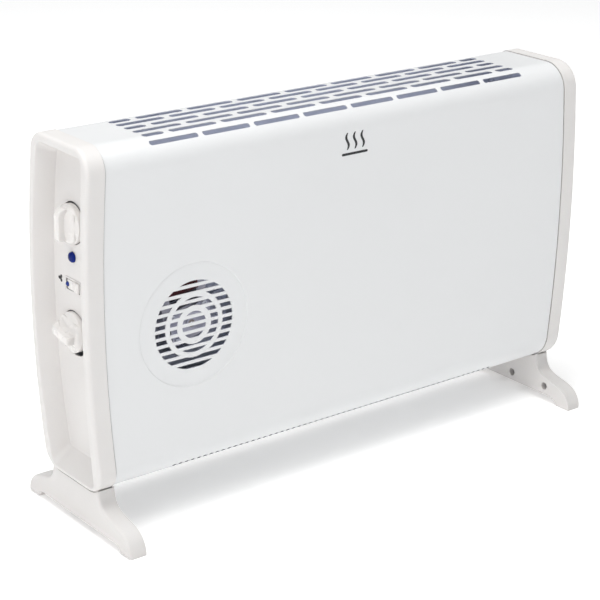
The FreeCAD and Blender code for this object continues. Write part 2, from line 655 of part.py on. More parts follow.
def knob(z, radius, face_x):
    def at(height, r):
        return Vector(face_x-height, CTRL_Y, z+r)

    body = revolved_knob([
        line(at(-1.6, 0), at(-1.6, radius-0.6)),
        line(at(-1.6, radius-0.6), at(-1.0, radius)),
        line(at(-1.0, radius), at(4.2, radius)),
        arc(at(4.2, radius), at(4.98, radius-0.24), at(5.35, radius-0.9)),
        spline([at(5.35, radius-0.9), at(6.6, radius*0.78), at(7.9, radius*0.55),
                at(8.8, radius*0.33), at(9.2, 0.0)]),
        line(at(9.2, 0), at(-1.6, 0))], face_x, z)
    blade = grip(z, radius, face_x)
    # hollow sweep from the grip's flanks to the dome, held under a fuller dome
    full_dome = revolved_knob([
        line(at(2.0, 0), at(2.0, radius-0.55)),
        line(at(2.0, radius-0.55), at(4.9, radius-0.55)),
        spline([at(4.9, radius-0.55), at(8.4, radius*0.86), at(11.2, radius*0.6),
                at(12.7, radius*0.3), at(13.1, 0.0)]),
        line(at(13.1, 0), at(2.0, 0))], face_x, z)

    def below(height, y):
        return Vector(face_x-height, CTRL_Y+y, z-radius-2)

    sweep = Part.Wire([
        line(below(3, -14.5), below(7.0, -14.5)),
        arc(below(7.0, -14.5), below(8.9, -7.6), below(13.2, -4.4)),
        line(below(13.2, -4.4), below(13.2, 4.4)),
        arc(below(13.2, 4.4), below(8.9, 7.6), below(7.0, 14.5)),
        line(below(7.0, 14.5), below(3, 14.5)),
        line(below(3, 14.5), below(3, -14.5))])
    flare = Part.Face(sweep).extrude(Vector(0, 0, 2*radius+4)).common(full_dome)
    body = body.fuse(flare).fuse(blade)
    # hollow underside with a hub for the spindle
    hollow = turned([(-3.0, 6.0), (-3.0, radius-2.0), (3.2, radius-2.0),
                     (5.4, radius*0.62), (6.0, 6.0)], face_x, z)
    body = body.cut(hollow).fuse(cylinder(face_x+4.0, CTRL_Y, z, 6.0, 5.0, LEFT))
    body = body.cut(cylinder(face_x+5.0, CTRL_Y, z, 3.02, 13.0, LEFT))
    return body.removeSplitter()


def spindle(z, face_x):
    x_in = -286.0
    rod = cylinder(x_in, CTRL_Y, z, 3.0, x_in-(face_x-7.6), LEFT)
    return rod.cut(box(face_x-9, CTRL_Y+2.2, z-4, face_x+2, CTRL_Y+4, z+4))


parts["selector_knob"] = knob(SELECTOR_Z, SELECTOR_R, SELECTOR_FACE_X)
thermostat_knob = knob(THERMOSTAT_Z, THERMOSTAT_R, THERMOSTAT_FACE_X)
# a negative turn about +X takes the top towards the back
thermostat_knob.rotate(Vector(0, CTRL_Y, THERMOSTAT_Z), Vector(1, 0, 0), -THERMOSTAT_TILT)
parts["thermostat_knob"] = thermostat_knob
parts["selector_spindle"] = spindle(SELECTOR_Z, SELECTOR_FACE_X)
parts["thermostat_spindle"] = spindle(THERMOSTAT_Z, THERMOSTAT_FACE_X)


# ---------------------------------------------------------------- control bracket
def control_bracket():
    plate = box(BRACKET_X, -27.0, 168.0, BRACKET_X+1.0, 27.0, 360.0)
    plate = round_along(plate, "x", 4.0)
    # stiffening flange along the back edge
    plate = plate.fuse(box(BRACKET_X+1.0, 26.0, 172.0, BRACKET_X+9.0, 27.0, 356.0))
    holes = [(CTRL_Y, SELECTOR_Z, 5.1), (CTRL_Y, THERMOSTAT_Z, 5.1), (CTRL_Y, LENS_Z, 5.2)]
    holes += [(y, z, 1.75) for y, z in BRACKET_SCREWS]
    cuts = [cylinder(BRACKET_X-2, y, z, radius, 5, RIGHT) for y, z, radius in holes]
    cuts.append(rocker_box(BRACKET_X-2, BRACKET_X+3, 0.6, 0.6))
    return plate.cut(cuts).removeSplitter()


def switch_body(z, width, height, depth, corner):
    """Block behind the bracket with a bored neck through it."""
    body = box(BRACKET_X+1.0, CTRL_Y-width/2, z-height/2,
               BRACKET_X+1.0+depth, CTRL_Y+width/2, z+height/2)
    body = round_along(body, "x", corner)
    body = body.fuse(cylinder(BRACKET_X-5.0, CTRL_Y, z, 5.0, 6.5, RIGHT))
    return body.cut(cylinder(BRACKET_X-8.0, CTRL_Y, z, 3.05, 15.2, RIGHT)).removeSplitter()


def hex_nut(z):
    across_flats, thickness = 14.0, 2.6
    radius = across_flats/math.sqrt(3)
    corners = [Vector(BRACKET_X, CTRL_Y+radius*math.cos(math.radians(60*i)),
                      z+radius*math.sin(math.radians(60*i))) for i in range(6)]
    nut = polygon_face(corners).extrude(Vector(-thickness, 0, 0))
    return nut.cut(cylinder(BRACKET_X+1, CTRL_Y, z, 5.02, thickness+3, LEFT))


def upright_tab(x, y, z):
    tab = box(x, y-0.4, z-3.1, x+7.0, y+0.4, z+3.1)
    return tab.cut(cylinder(x+4.5, y-2, z, 0.8, 4, BACKWARD))


def flat_tab(y):
    """Level terminal tab on the thermostat."""
    tab = box(BRACKET_X+13.0, y-3.1, THERMOSTAT_Z-10.4, BRACKET_X+21.0, y+3.1, THERMOSTAT_Z-9.6)
    return tab.cut(cylinder(BRACKET_X+18.5, y, THERMOSTAT_Z-12, 0.8, 4, UP))


def bimetal():
    z0, z1 = THERMOSTAT_Z+2.0, THERMOSTAT_Z+8.0
    post = box(BRACKET_X+13.0, CTRL_Y-14.0, z0, BRACKET_X+16.0, CTRL_Y-9.0, z1)
    strip = box(BRACKET_X+16.0, CTRL_Y-14.0, z0, BRACKET_X+17.0, CTRL_Y+15.0, z1)
    return post.fuse(strip).removeSplitter()


def switch_tabs():
    places = [(-11, 10), (0, 10), (11, 10), (-11, -10), (11, -10)]      # y, z from the spindle
    tabs = [upright_tab(BRACKET_X+18.0, CTRL_Y+dy, SELECTOR_Z+dz) for dy, dz in places]
    tabs += [flat_tab(CTRL_Y+dy) for dy in (-12, 12)]
    tabs += [upright_tab(-280.0, CTRL_Y+dy, ROCKER_Z) for dy in (-8, 8)]
    return group(tabs)


parts["control_bracket"] = control_bracket()
parts["bracket_screws"] = group(
    [screw(BRACKET_X+1.0, y, z, LEFT, 7.0) for y, z in BRACKET_SCREWS])
parts["selector_switch"] = switch_body(SELECTOR_Z, 34.0, 34.0, 17.0, 4.0)
parts["thermostat_body"] = switch_body(THERMOSTAT_Z, 36.0, 30.0, 12.0, 2.0)
parts["thermostat_bimetal"] = bimetal()
parts["panel_nuts"] = group([hex_nut(SELECTOR_Z), hex_nut(THERMOSTAT_Z)])
parts["switch_tabs"] = switch_tabs()

# ---------------------------------------------------------------- fan rocker switch
PIVOT_X = ROCKER_FACE_X+3.4
ROCKER_BOTTOM = ROCKER_Z-ROCKER_WIDTH/2
ROCKER_HALF = ROCKER_LENGTH/2-0.4
DOT_Y, DOT_R = CTRL_Y+ROCKER_HALF-3.6, 2.6


def rocker_housing():
    face = ROCKER_FACE_X
    housing = round_along(rocker_box(face-0.35, face, 1.5, 1.5), "x", 1.0)
    housing = housing.fuse(rocker_box(face, face+4, 0.8, 0.8))
    housing = housing.fuse(rocker_box(face+4, -280.0, 0.5, 0.5))
    housing = housing.cut(rocker_box(face-2, -291.0, -0.1, -0.35))
    pivot = cylinder(PIVOT_X, CTRL_Y, ROCKER_BOTTOM-0.3, 1.25, ROCKER_WIDTH+0.6, UP)
    return housing.cut(pivot).removeSplitter()


def rocker_body():
    """Two shallow facets that meet at the pivot line, built level."""
    face, half = ROCKER_FACE_X, ROCKER_HALF
    profile = [(-half, face-1.9), (0, face-0.9), (half, face-1.9), (half-0.8, face+4.4),
               (2.5, -298.3), (-2.5, -298.3), (-half+0.8, face+4.4)]      # y, x
    corners = [Vector(x, CTRL_Y+y, ROCKER_BOTTOM+0.6) for y, x in profile]
    body = polygon_face(corners).extrude(Vector(0, 0, ROCKER_WIDTH-1.2))
    noses = [edge for edge in body.Edges
             if abs(abs(edge.CenterOfMass.y-CTRL_Y)-half) < 0.05
             and edge.CenterOfMass.x < face-1.5 and edge.Length > 5]
    # The nose fillet may fail on the obtuse ends, which then stay sharp.
    try:
        body = body.makeFillet(3.2, noses)
    except Exception:
        pass
    rims = [edge for edge in body.Edges
            if edge.CenterOfMass.x < face-0.2 and edge.BoundBox.ZLength < 1.0
            and edge.Length > 3.0]
    body = fillet_largest(body, rims, (1.3, 0.9, 0.5))
    return body.fuse(cylinder(PIVOT_X, CTRL_Y, ROCKER_BOTTOM-0.2, 1.2, ROCKER_WIDTH+0.4, UP))


def rocker_and_dot():
    """The rocker and the domed dot let into its rear facet, tipped with the front end proud."""
    face = ROCKER_FACE_X
    socket = cylinder(face-2.3, DOT_Y, ROCKER_Z, DOT_R, 1.5, RIGHT)
    socket.rotate(Vector(face-1.6, DOT_Y, ROCKER_Z), Vector(0, 0, 1),
                  math.degrees(math.atan2(1.0, ROCKER_HALF)))
    rocker = rocker_body().cut(socket).removeSplitter()
    dot = socket.common(box(face-1.93, -40, 0, -290, 40, 400))
    dome = Part.makeSphere(DOT_R, Vector(face-1.0, DOT_Y, ROCKER_Z))
    dot = dot.fuse(dome.common(box(face-6, -40, 0, face-1.2, 40, 400))).removeSplitter()
    for shape in (rocker, dot):
        shape.rotate(Vector(PIVOT_X, CTRL_Y, 0), Vector(0, 0, 1), -ROCKER_TILT)
    return rocker, dot


def fan_symbol():
    """Three-bladed symbol printed behind the rocker, towards the back."""
    thickness = 0.12
    pieces = []
    for i in range(3):
        ellipse = Part.Wire([Part.Ellipse(Vector(0, 0, 0), 2.0, 1.65).toShape()])
        blade = Part.Face(ellipse).extrude(Vector(0, 0, thickness))
        blade.translate(Vector(2.15, 0, 0))
        blade.rotate(Vector(0, 0, 0), Vector(0, 0, 1), 90+120*i)
        pieces.append(blade)
    pieces.append(Part.makeCylinder(0.75, thickness))
    return placed(fuse(pieces), (ROCKER_FACE_X+0.02, 23.2, 255.9), BACKWARD, -90)


parts["rocker_housing"] = rocker_housing()
parts["fan_rocker"], parts["rocker_dot"] = rocker_and_dot()
parts["fan_symbol"] = fan_symbol()


# ---------------------------------------------------------------- pilot lamp
def pilot_lens():
    outside = [(-2.8, 0), (-2.8, LENS_R), (0.9, LENS_R), (1.7, LENS_R-0.2),      # height, radius
               (2.5, LENS_R-0.7), (3.2, LENS_R-1.6), (3.7, LENS_R-2.8),
               (4.0, LENS_R-4.2), (4.1, 0)]
    inside = [(-4, 0), (-4, 4.0), (0.9, 4.0), (2.2, 2.4), (2.4, 0)]
    return turned(outside, LENS_FACE_X, LENS_Z).cut(turned(inside, LENS_FACE_X, LENS_Z))


def neon_lamp():
    x, radius = -299.6, 2.9
    nose = Part.makeSphere(radius, Vector(x, CTRL_Y, LENS_Z))
    return fuse([cylinder(x, CTRL_Y, LENS_Z, radius, 12.59, RIGHT),
                 nose.common(box(-305, -10, LENS_Z-5, x, 10, LENS_Z+5))])


parts["pilot_lens"] = pilot_lens()
parts["lamp_holder"] = cylinder(-302.7, CTRL_Y, LENS_Z, 5.1, 21.5, RIGHT).cut(
    cylinder(-303.5, CTRL_Y, LENS_Z, 3.3, 16.5, RIGHT))
parts["neon_lamp"] = neon_lamp()


# ---------------------------------------------------------------- partitions and heat shield
def partition(x, inward, tab_bottom, holes):
    """Plate across the body with a tab folded inward along the back."""
    plate = outline(2.7, min(x, x+inward), max(x, x+inward))
    plate = plate.fuse(box(x, HALF_DEPTH-3.0, tab_bottom, x+10*inward, STEEL_INNER_Y, 330))
    holes = [(y, ELEMENT_Z, 6.55) for y in ELEMENT_Y]+holes
    plate = plate.cut([cylinder(x-2*inward, y, z, radius, 6, (inward, 0, 0))
                       for y, z, radius in holes])
    return plate.removeSplitter()


def heat_shield():
    """Sheet before the back panel, its top and bottom flanges folded to the back."""
    shield = box(-250, 38.0, 88, 270, 38.8, 347)
    shield = shield.fuse(box(-250, 38.0, 347, 270, STEEL_INNER_Y, 347.8))
    shield = shield.fuse(box(-250, 38.0, 87.2, 270, STEEL_INNER_Y, 88.0))
    slot = rounded_slot(60, 8, 6, 3.9)
    shield = shield.cut([placed(slot, (x, 46, 347)) for x in (-180, -90, 0, 90, 180)])
    return shield.removeSplitter()


parts["partition_left"] = partition(
    PARTITION_LEFT_X, 1, 150, [(-30, 150, 6.0), (28, 270, 5.0)])      # y, z, radius
parts["partition_right"] = partition(PARTITION_RIGHT_X, -1, 110, [])
parts["heat_shield"] = heat_shield()

# ---------------------------------------------------------------- finned sheathed elements
ROD_R, ROD_BORE_R = 4.0, 4.02
ROD_X0, ROD_X1 = PARTITION_LEFT_X-9.0, PARTITION_RIGHT_X+5.0
FIN_X0, FIN_PITCH, FIN_COUNT = -246, 7.0, 74


def element_fins():
    fin = round_along(box(0, -26, ELEMENT_Z-15, 0.5, 26, ELEMENT_Z+15), "x", 4.0)
    fin = fin.cut([cylinder(-1, y, ELEMENT_Z, ROD_BORE_R, 3, RIGHT) for y in ELEMENT_Y])
    return group([placed(fin, (FIN_X0+FIN_PITCH*i, 0, 0)) for i in range(FIN_COUNT)])


def insulator(x, inward, y):
    """Flanged bush through a partition."""
    direction = (inward, 0, 0)
    bush = cylinder(x-6.0*inward, y, ELEMENT_Z, 6.5, 11.0, direction)
    bush = bush.fuse(cylinder(x-3.0*inward, y, ELEMENT_Z, 9.0, 3.0, direction))
    bore = cylinder(x-20*inward, y, ELEMENT_Z, ROD_BORE_R, 60, direction)
    return bush.cut(bore).removeSplitter()


def element_terminal(x, outward, y):
    pin = cylinder(x, y, ELEMENT_Z, 1.6, 4.0, (outward, 0, 0))
    blade = box(x+outward*3.0, y-3.1, ELEMENT_Z-0.4, x+outward*10.0, y+3.1, ELEMENT_Z+0.4)
    return pin.fuse(blade).removeSplitter()


parts["element_rods"] = group(
    [cylinder(ROD_X0, y, ELEMENT_Z, ROD_R, ROD_X1-ROD_X0, RIGHT) for y in ELEMENT_Y])
parts["element_fins"] = element_fins()
parts["element_insulators"] = group(
    [insulator(x, inward, y) for x, inward in ((PARTITION_LEFT_X, 1), (PARTITION_RIGHT_X, -1))
     for y in ELEMENT_Y])
parts["element_terminals"] = group(
    [element_terminal(x, outward, y) for x, outward in ((ROD_X0, -1), (ROD_X1, 1))
     for y in ELEMENT_Y])

# ---------------------------------------------------------------- over-temperature cut-out
CUTOUT_X, CUTOUT_Z = 60, 165    # on the shield, above the elements


def clamp_ear(side):
    ear = box(CUTOUT_X+side*8.1, 36.6, CUTOUT_Z-5, CUTOUT_X+side*16, 37.99, CUTOUT_Z+5)
    return ear.cut(cylinder(CUTOUT_X+side*12, 30, CUTOUT_Z, 1.6, 10, BACKWARD))


parts["thermal_cutout"] = cylinder(CUTOUT_X, 38.0, CUTOUT_Z, 8.0, 6.0, FORWARD).fuse(
    cylinder(CUTOUT_X, 32.0, CUTOUT_Z, 5.5, 8.0, FORWARD)).removeSplitter()
parts["cutout_clamp"] = group([clamp_ear(side) for side in (-1, 1)])

# ---------------------------------------------------------------- terminal block
BLOCK_X = PARTITION_LEFT_X-13.0           # outboard face; fixed to the left partition
TERMINAL_Y, TERMINAL_Z = (-1.0, 12.0, 25.0), 80.0


def terminal_block():
    block = box(BLOCK_X, -8.0, 72.0, PARTITION_LEFT_X, 32.0, 88.0)
    outer = [edge for edge in block.Edges if edge.CenterOfMass.x < BLOCK_X+0.5]
    block = block.makeFillet(1.0, outer)
    return block.cut([cylinder(BLOCK_X-1, y, TERMINAL_Z, 2.6, 7, RIGHT) for y in TERMINAL_Y])


def terminal_screw(y):
    """Screw cut off at the bottom of its well."""
    whole = screw(BLOCK_X+5.0, y, TERMINAL_Z, RIGHT, 2.5, radius=1.2, head_r=2.4, head_h=1.6)
    return whole.common(box(-400, -100, 0, BLOCK_X+6.0, 100, 200))


parts["terminal_block"] = terminal_block()
parts["terminal_screws"] = group([terminal_screw(y) for y in TERMINAL_Y])

# ---------------------------------------------------------------- fan
MOTOR_TURN = -12.0              # the coil leans towards the heater's left end
STACK_FRONT, STACK_BACK = -41.0, -27.0    # y of the stator stack's faces
STACK_BOLTS = [(x, z) for x in (-19.0, 19.0) for z in (-12.0, 14.0)]     # from the shaft
SHROUD_Y = -17.0
SHAFT_R, IMPELLER_BORE_R = 1.5, 1.52


def spin(shape, degrees=MOTOR_TURN):
    """Copy turned about the fan's shaft."""
    copy = shape.copy()
    copy.rotate(Vector(GRILLE_X, 0, GRILLE_Z), Vector(0, 1, 0), degrees)
    return copy


def fan_box(x0, y0, z0, x1, y1, z1):
    """Box with x and z measured from the shaft."""
    return box(GRILLE_X+x0, y0, GRILLE_Z+z0, GRILLE_X+x1, y1, GRILLE_Z+z1)


def fan_cylinder(y, radius, length, x=0.0, z=0.0, toward=1):
    """Cylinder along Y, at x and z from the shaft; toward is 1 for the back, -1 the front."""
    return cylinder(GRILLE_X+x, y, GRILLE_Z+z, radius, length, (0, toward, 0))


def stator():
    stack = round_along(fan_box(-27, STACK_FRONT, -18, 27, STACK_BACK, 50), "y", 4.0)
    stack = stack.cut(fan_cylinder(STACK_FRONT-1, 11.2, 16))
    stack = stack.cut(fan_box(-16.4, STACK_FRONT-1, 17.0, 16.4, STACK_BACK+1, 40.0))
    stack = stack.cut([fan_cylinder(STACK_FRONT-1, 1.75, 16, x, z) for x, z in STACK_BOLTS])
    return spin(stack)


def coil():
    winding = fan_box(-16.0, STACK_FRONT-6.5, 32.2, 16.0, STACK_BACK+6.0, 58.0)
    winding = round_along(winding, "x", 4.0)
    core = fan_box(-20, STACK_FRONT-0.15, 39.85, 20, STACK_BACK+0.15, 50.15)
    return spin(winding.cut(core))


def bridge(y, toward):
    """Waisted bearing plate over one side of the stack, on four posts."""
    plate = round_along(fan_box(-24, y+toward*3.0, -17, 24, y+toward*4.4, 17), "y", 4.0)
    plate = plate.cut([fan_cylinder(y-10, 14.5, 20, z=z) for z in (-26.0, 26.0)])
    hub = fan_cylinder(y+toward*1.6, 6.0, 4.0, toward=toward)
    posts = [fan_cylinder(y, 3.4, 3.2, x, z, toward) for x, z in STACK_BOLTS]
    holes = [fan_cylinder(y-10, 4.02, 20)]
    holes += [fan_cylinder(y-10, 1.75, 20, x, z) for x, z in STACK_BOLTS]
    return spin(fuse([plate, hub]+posts).cut(holes))


def bush(y, toward):
    sleeve = fan_cylinder(y+toward*1.6, 4.0, 4.0, toward=toward)
    return sleeve.cut(fan_cylinder(y-10, 1.55, 20))


def motor_bracket():
    """Strap behind the motor, its ends folded back to feet on the shroud."""
    y0, y1 = STACK_BACK+4.4, STACK_BACK+5.6
    strap = fan_box(-26, y0, -17.0, 26, y1, 17.0)
    strap = strap.fuse(fan_box(-52, y0, -6, 52, y1, 6))
    strap = strap.fuse(fan_box(-53.2, y0, -6, -52, SHROUD_Y, 6))
    strap = strap.fuse(fan_box(52, y0, -6, 53.2, SHROUD_Y, 6))
    strap = strap.fuse(fan_box(-57, SHROUD_Y-1.2, -6, -52, SHROUD_Y, 6))
    strap = strap.fuse(fan_box(52, SHROUD_Y-1.2, -6, 57, SHROUD_Y, 6)).removeSplitter()
    holes = [fan_cylinder(STACK_BACK-1, 6.2, 20)]
    holes += [fan_cylinder(STACK_BACK, 1.75, 12, x, z) for x, z in STACK_BOLTS]
    return spin(strap.cut(holes))


def motor_screw(x, z):
    return spin(screw(GRILLE_X+x, STACK_FRONT-4.4, GRILLE_Z+z, BACKWARD, 25.5,
                      radius=1.6, head_r=3.0, head_h=1.8))


def fan_shroud():
    """Sheet with a round mouth, folded back to the shield at its right edge."""
    sheet = box(PARTITION_LEFT_X+1.0, SHROUD_Y, 148, -138, SHROUD_Y+0.8, 268)
    sheet = sheet.cut(fan_cylinder(SHROUD_Y-2, 42.5, 6))
    mouth = fan_cylinder(SHROUD_Y, 43.3, 9.0).cut(fan_cylinder(SHROUD_Y-1, 42.5, 12))
    return sheet.fuse(mouth).fuse(box(-138.8, SHROUD_Y, 148, -138, 38.0, 268)).removeSplitter()


def impeller():
    blade_count = 7
    pieces = [fan_cylinder(-14.5, 12.0, 17.5)]
    for i in range(blade_count):
        blade = Part.makeBox(1.5, 19.0, 34.0, Vector(-0.75, -9.5, 6.5))
        blade = placed(blade, (GRILLE_X, -6.0, GRILLE_Z), UP, 42)
        blade = blade.common(fan_cylinder(-14.0, 40.0, 16.5))
        pieces.append(spin(blade, 360.0/blade_count*i))
    wheel = pieces[0].multiFuse(pieces[1:]).cut(fan_cylinder(-30, IMPELLER_BORE_R, 60))
    return wheel.removeSplitter()


parts["motor_stator"] = stator()
parts["motor_coil"] = coil()
parts["motor_rotor"] = fan_cylinder(STACK_FRONT, 10.8, STACK_BACK-STACK_FRONT).cut(
    fan_cylinder(STACK_FRONT-1, IMPELLER_BORE_R, 16))
parts["motor_shaft"] = fan_cylinder(-46.6, SHAFT_R, 50.6)
parts["motor_bridges"] = group([bridge(STACK_FRONT, -1), bridge(STACK_BACK, 1)])
parts["motor_bushes"] = group([bush(STACK_FRONT, -1), bush(STACK_BACK, 1)])
parts["motor_bracket"] = motor_bracket()
parts["motor_screws"] = group([motor_screw(x, z) for x, z in STACK_BOLTS])
parts["fan_shroud"] = fan_shroud()
parts["fan_impeller"] = impeller()

# ---------------------------------------------------------------- mains lead
CORD_R = 3.4
COIL_LEFT, COIL_RIGHT, COIL_TOP, COIL_BOTTOM = -221.0, -79.0, 36.4, 4.8
COIL_Y, COIL_STEP = 73.8, 3.7   # first turn, and the move back per half turn
PLUG_Y, PLUG_Z = 77.0, 18.4
PIN_Y = (PLUG_Y-9.5, PLUG_Y+9.5)


def cord_grip():
    grommet = cylinder(CORD_X, STEEL_INNER_Y-2.6, CORD_Z, 6.5, 6.0, BACKWARD)
    grommet = grommet.fuse(cylinder(CORD_X, STEEL_Y, CORD_Z, 9.0, 2.6, BACKWARD))
    grommet = grommet.fuse(Part.makeCone(6.2, 4.8, 12.0, Vector(CORD_X, STEEL_Y+2.6, CORD_Z),
                                         Vector(0, 1, 0)))
    grommet = grommet.fuse(cylinder(CORD_X, STEEL_INNER_Y-5.0, CORD_Z, 8.2, 4.9, BACKWARD))
    return grommet.cut(cylinder(CORD_X, 30, CORD_Z, 3.45, 60, BACKWARD)).removeSplitter()


def mains_cord():
    """From the back, down into an upright flat coil behind the heater, then to the plug."""
    turns = [COIL_Y+i*COIL_STEP for i in range(5)]
    points = [
        (CORD_X, 34, CORD_Z), (CORD_X, 79, CORD_Z), (-266, 77, 50), (-246, 69.5, COIL_TOP),
        (COIL_RIGHT, turns[0], COIL_TOP), (COIL_RIGHT, turns[0], COIL_BOTTOM),
        (COIL_LEFT, turns[1], COIL_BOTTOM), (COIL_LEFT, turns[1], COIL_TOP),
        (COIL_RIGHT, turns[2], COIL_TOP), (COIL_RIGHT, turns[2], COIL_BOTTOM),
        (COIL_LEFT, turns[3], COIL_BOTTOM), (COIL_LEFT, turns[3], COIL_TOP),
        (-92, turns[4]-0.3, COIL_TOP), (-58, PLUG_Y, PLUG_Z), (-18, PLUG_Y, PLUG_Z)]
    return tube(points, CORD_R, [9.0]+[14.0]*10+[20.0]*2)


def cord_tie():
    """Rounded band round the coil."""
    def band(x, inset, width):
        wire = round_wire(x, 67.4+inset, 91.4-inset, 0.4+inset, 40.8-inset, 5-inset, 5-inset)
        return Part.Face(wire).extrude(Vector(width, 0, 0))

    return band(-153.5, 0, 7).cut(band(-154, 0.8, 8))


def mains_plug():
    along = Vector(1, 0, 0)
    plug = Part.makeCone(6.0, 9.0, 14.0, Vector(-34, PLUG_Y, PLUG_Z), along)
    plug = plug.fuse(Part.makeCone(9.0, 15.5, 9.0, Vector(-20, PLUG_Y, PLUG_Z), along))
    disc = cylinder(-11, PLUG_Y, PLUG_Z, 18.0, 15.0, RIGHT)
    disc = disc.makeFillet(2.0, [edge for edge in disc.Edges if edge.Closed])
    notches = [box(-12, PLUG_Y+side*20, PLUG_Z-3.0, 6, PLUG_Y+side*15.6, PLUG_Z+3.0)
               for side in (-1, 1)]
    plug = plug.fuse(disc).cut(notches)
    bores = [cylinder(-40, PLUG_Y, PLUG_Z, 3.42, 22.1, RIGHT)]
    bores += [cylinder(-4, y, PLUG_Z, 2.42, 12, RIGHT) for y in PIN_Y]
    return plug.cut(bores).removeSplitter()


def plug_pin(y):
    pin = cylinder(-4, y, PLUG_Z, 2.4, 27.0, RIGHT)
    tip = [edge for edge in pin.Edges if edge.Closed and edge.CenterOfMass.x > 20]
    return pin.makeFillet(1.2, tip)


parts["cord_grip"] = cord_grip()
parts["mains_cord"] = mains_cord()
parts["cord_tie"] = cord_tie()
parts["mains_plug"] = mains_plug()
parts["plug_pins"] = group([plug_pin(y) for y in PIN_Y])

# ---------------------------------------------------------------- internal wiring
WIRE_R, WIRE_BEND = 1.2, 4.0
WIRE_START_X, WIRE_TURN_X = PARTITION_LEFT_X-15, PARTITION_LEFT_X-19
# Each wire part: its leads, as x, y, z points
WIRES = {
    "wire_live": [[
        (WIRE_START_X, 25, 80), (WIRE_TURN_X, 26, 92), (-273.5, 30, 130), (-270.5, 32, 200),
        (-270.0, 31, 270), (-267.8, 22, 300), (-267.7, 11.5, 303.0)]],
    "wire_neutral": [
        [(WIRE_START_X, -1, 80), (WIRE_TURN_X, -6, 90), (-278, -12.0, 98),
         (-281.0, -12.0, 107.0)],
        [(WIRE_START_X, 1.5, 80), (WIRE_TURN_X-1, 4, 92), (-278, 8, 98),
         (-281.0, 12.0, 107.0)]],
    "wire_switched": [[
        (-266.6, -10.5, 330.5), (-266.2, -20, 322), (-268, -33, 280), (-268, -34, 200),
        (-268, -31, 160), (-258, -30.2, 150.1), (-245, -29, 146), (-120, -28, 145),
        (100, -28, 145), (250, -28, 143), (272, -26, 140)]],
}
for wire_name, leads in WIRES.items():
    parts[wire_name] = group([tube(lead, WIRE_R, [WIRE_BEND]*(len(lead)-2)) for lead in leads])

# ---------------------------------------------------------------- export
for name, shape in parts.items():
    result = shape.Solids[0] if len(shape.Solids) == 1 else shape
    result.exportStep("parts/%s.step" % name)
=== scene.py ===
"""A convector heater with a fan motor: white steel casing, plastic caps and a lead.

Metres, +Z up. The casing runs along X, its front panel faces -Y and the lead leaves
the back panel towards +Y. The CAD pieces get procedural materials. The motor winding
and the lead's grip are rebuilt in detail, and a bobbin and fin collars are added.
"""
import bpy, bmesh, json, math
from mathutils import Vector, Matrix


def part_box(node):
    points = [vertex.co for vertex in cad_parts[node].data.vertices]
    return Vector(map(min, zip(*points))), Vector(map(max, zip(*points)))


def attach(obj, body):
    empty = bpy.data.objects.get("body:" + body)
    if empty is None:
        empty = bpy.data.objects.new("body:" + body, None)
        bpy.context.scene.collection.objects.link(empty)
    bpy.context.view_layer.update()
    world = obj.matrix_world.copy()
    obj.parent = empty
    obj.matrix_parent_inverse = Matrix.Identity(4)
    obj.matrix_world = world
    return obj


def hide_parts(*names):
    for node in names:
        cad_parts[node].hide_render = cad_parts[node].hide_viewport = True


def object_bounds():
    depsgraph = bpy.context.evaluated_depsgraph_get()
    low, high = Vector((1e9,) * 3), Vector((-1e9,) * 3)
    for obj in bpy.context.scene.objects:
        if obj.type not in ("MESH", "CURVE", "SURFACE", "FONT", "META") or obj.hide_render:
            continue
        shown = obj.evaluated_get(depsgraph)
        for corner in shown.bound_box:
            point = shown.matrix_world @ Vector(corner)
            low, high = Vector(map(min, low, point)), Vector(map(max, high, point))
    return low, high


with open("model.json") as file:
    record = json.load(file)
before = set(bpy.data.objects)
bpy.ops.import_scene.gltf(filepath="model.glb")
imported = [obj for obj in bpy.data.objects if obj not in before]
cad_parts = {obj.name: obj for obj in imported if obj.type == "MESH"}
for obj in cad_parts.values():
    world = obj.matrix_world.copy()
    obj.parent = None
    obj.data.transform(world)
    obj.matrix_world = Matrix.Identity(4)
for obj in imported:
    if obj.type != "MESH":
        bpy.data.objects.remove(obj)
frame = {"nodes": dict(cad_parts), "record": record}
CAD_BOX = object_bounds()
NODES = frame["nodes"]
SLOT_OF = {part["node"]: part["material_slot"] for part in frame["record"]["subparts"]}

X_AXIS = Vector((1, 0, 0))
Y_AXIS = Vector((0, 1, 0))
Z_AXIS = Vector((0, 0, 1))


# ------------------------------------------------------------------ shader helpers
def shade(colour, factor):
    """A colour made darker or lighter, held at 1."""
    return tuple(min(1.0, channel*factor) for channel in colour)


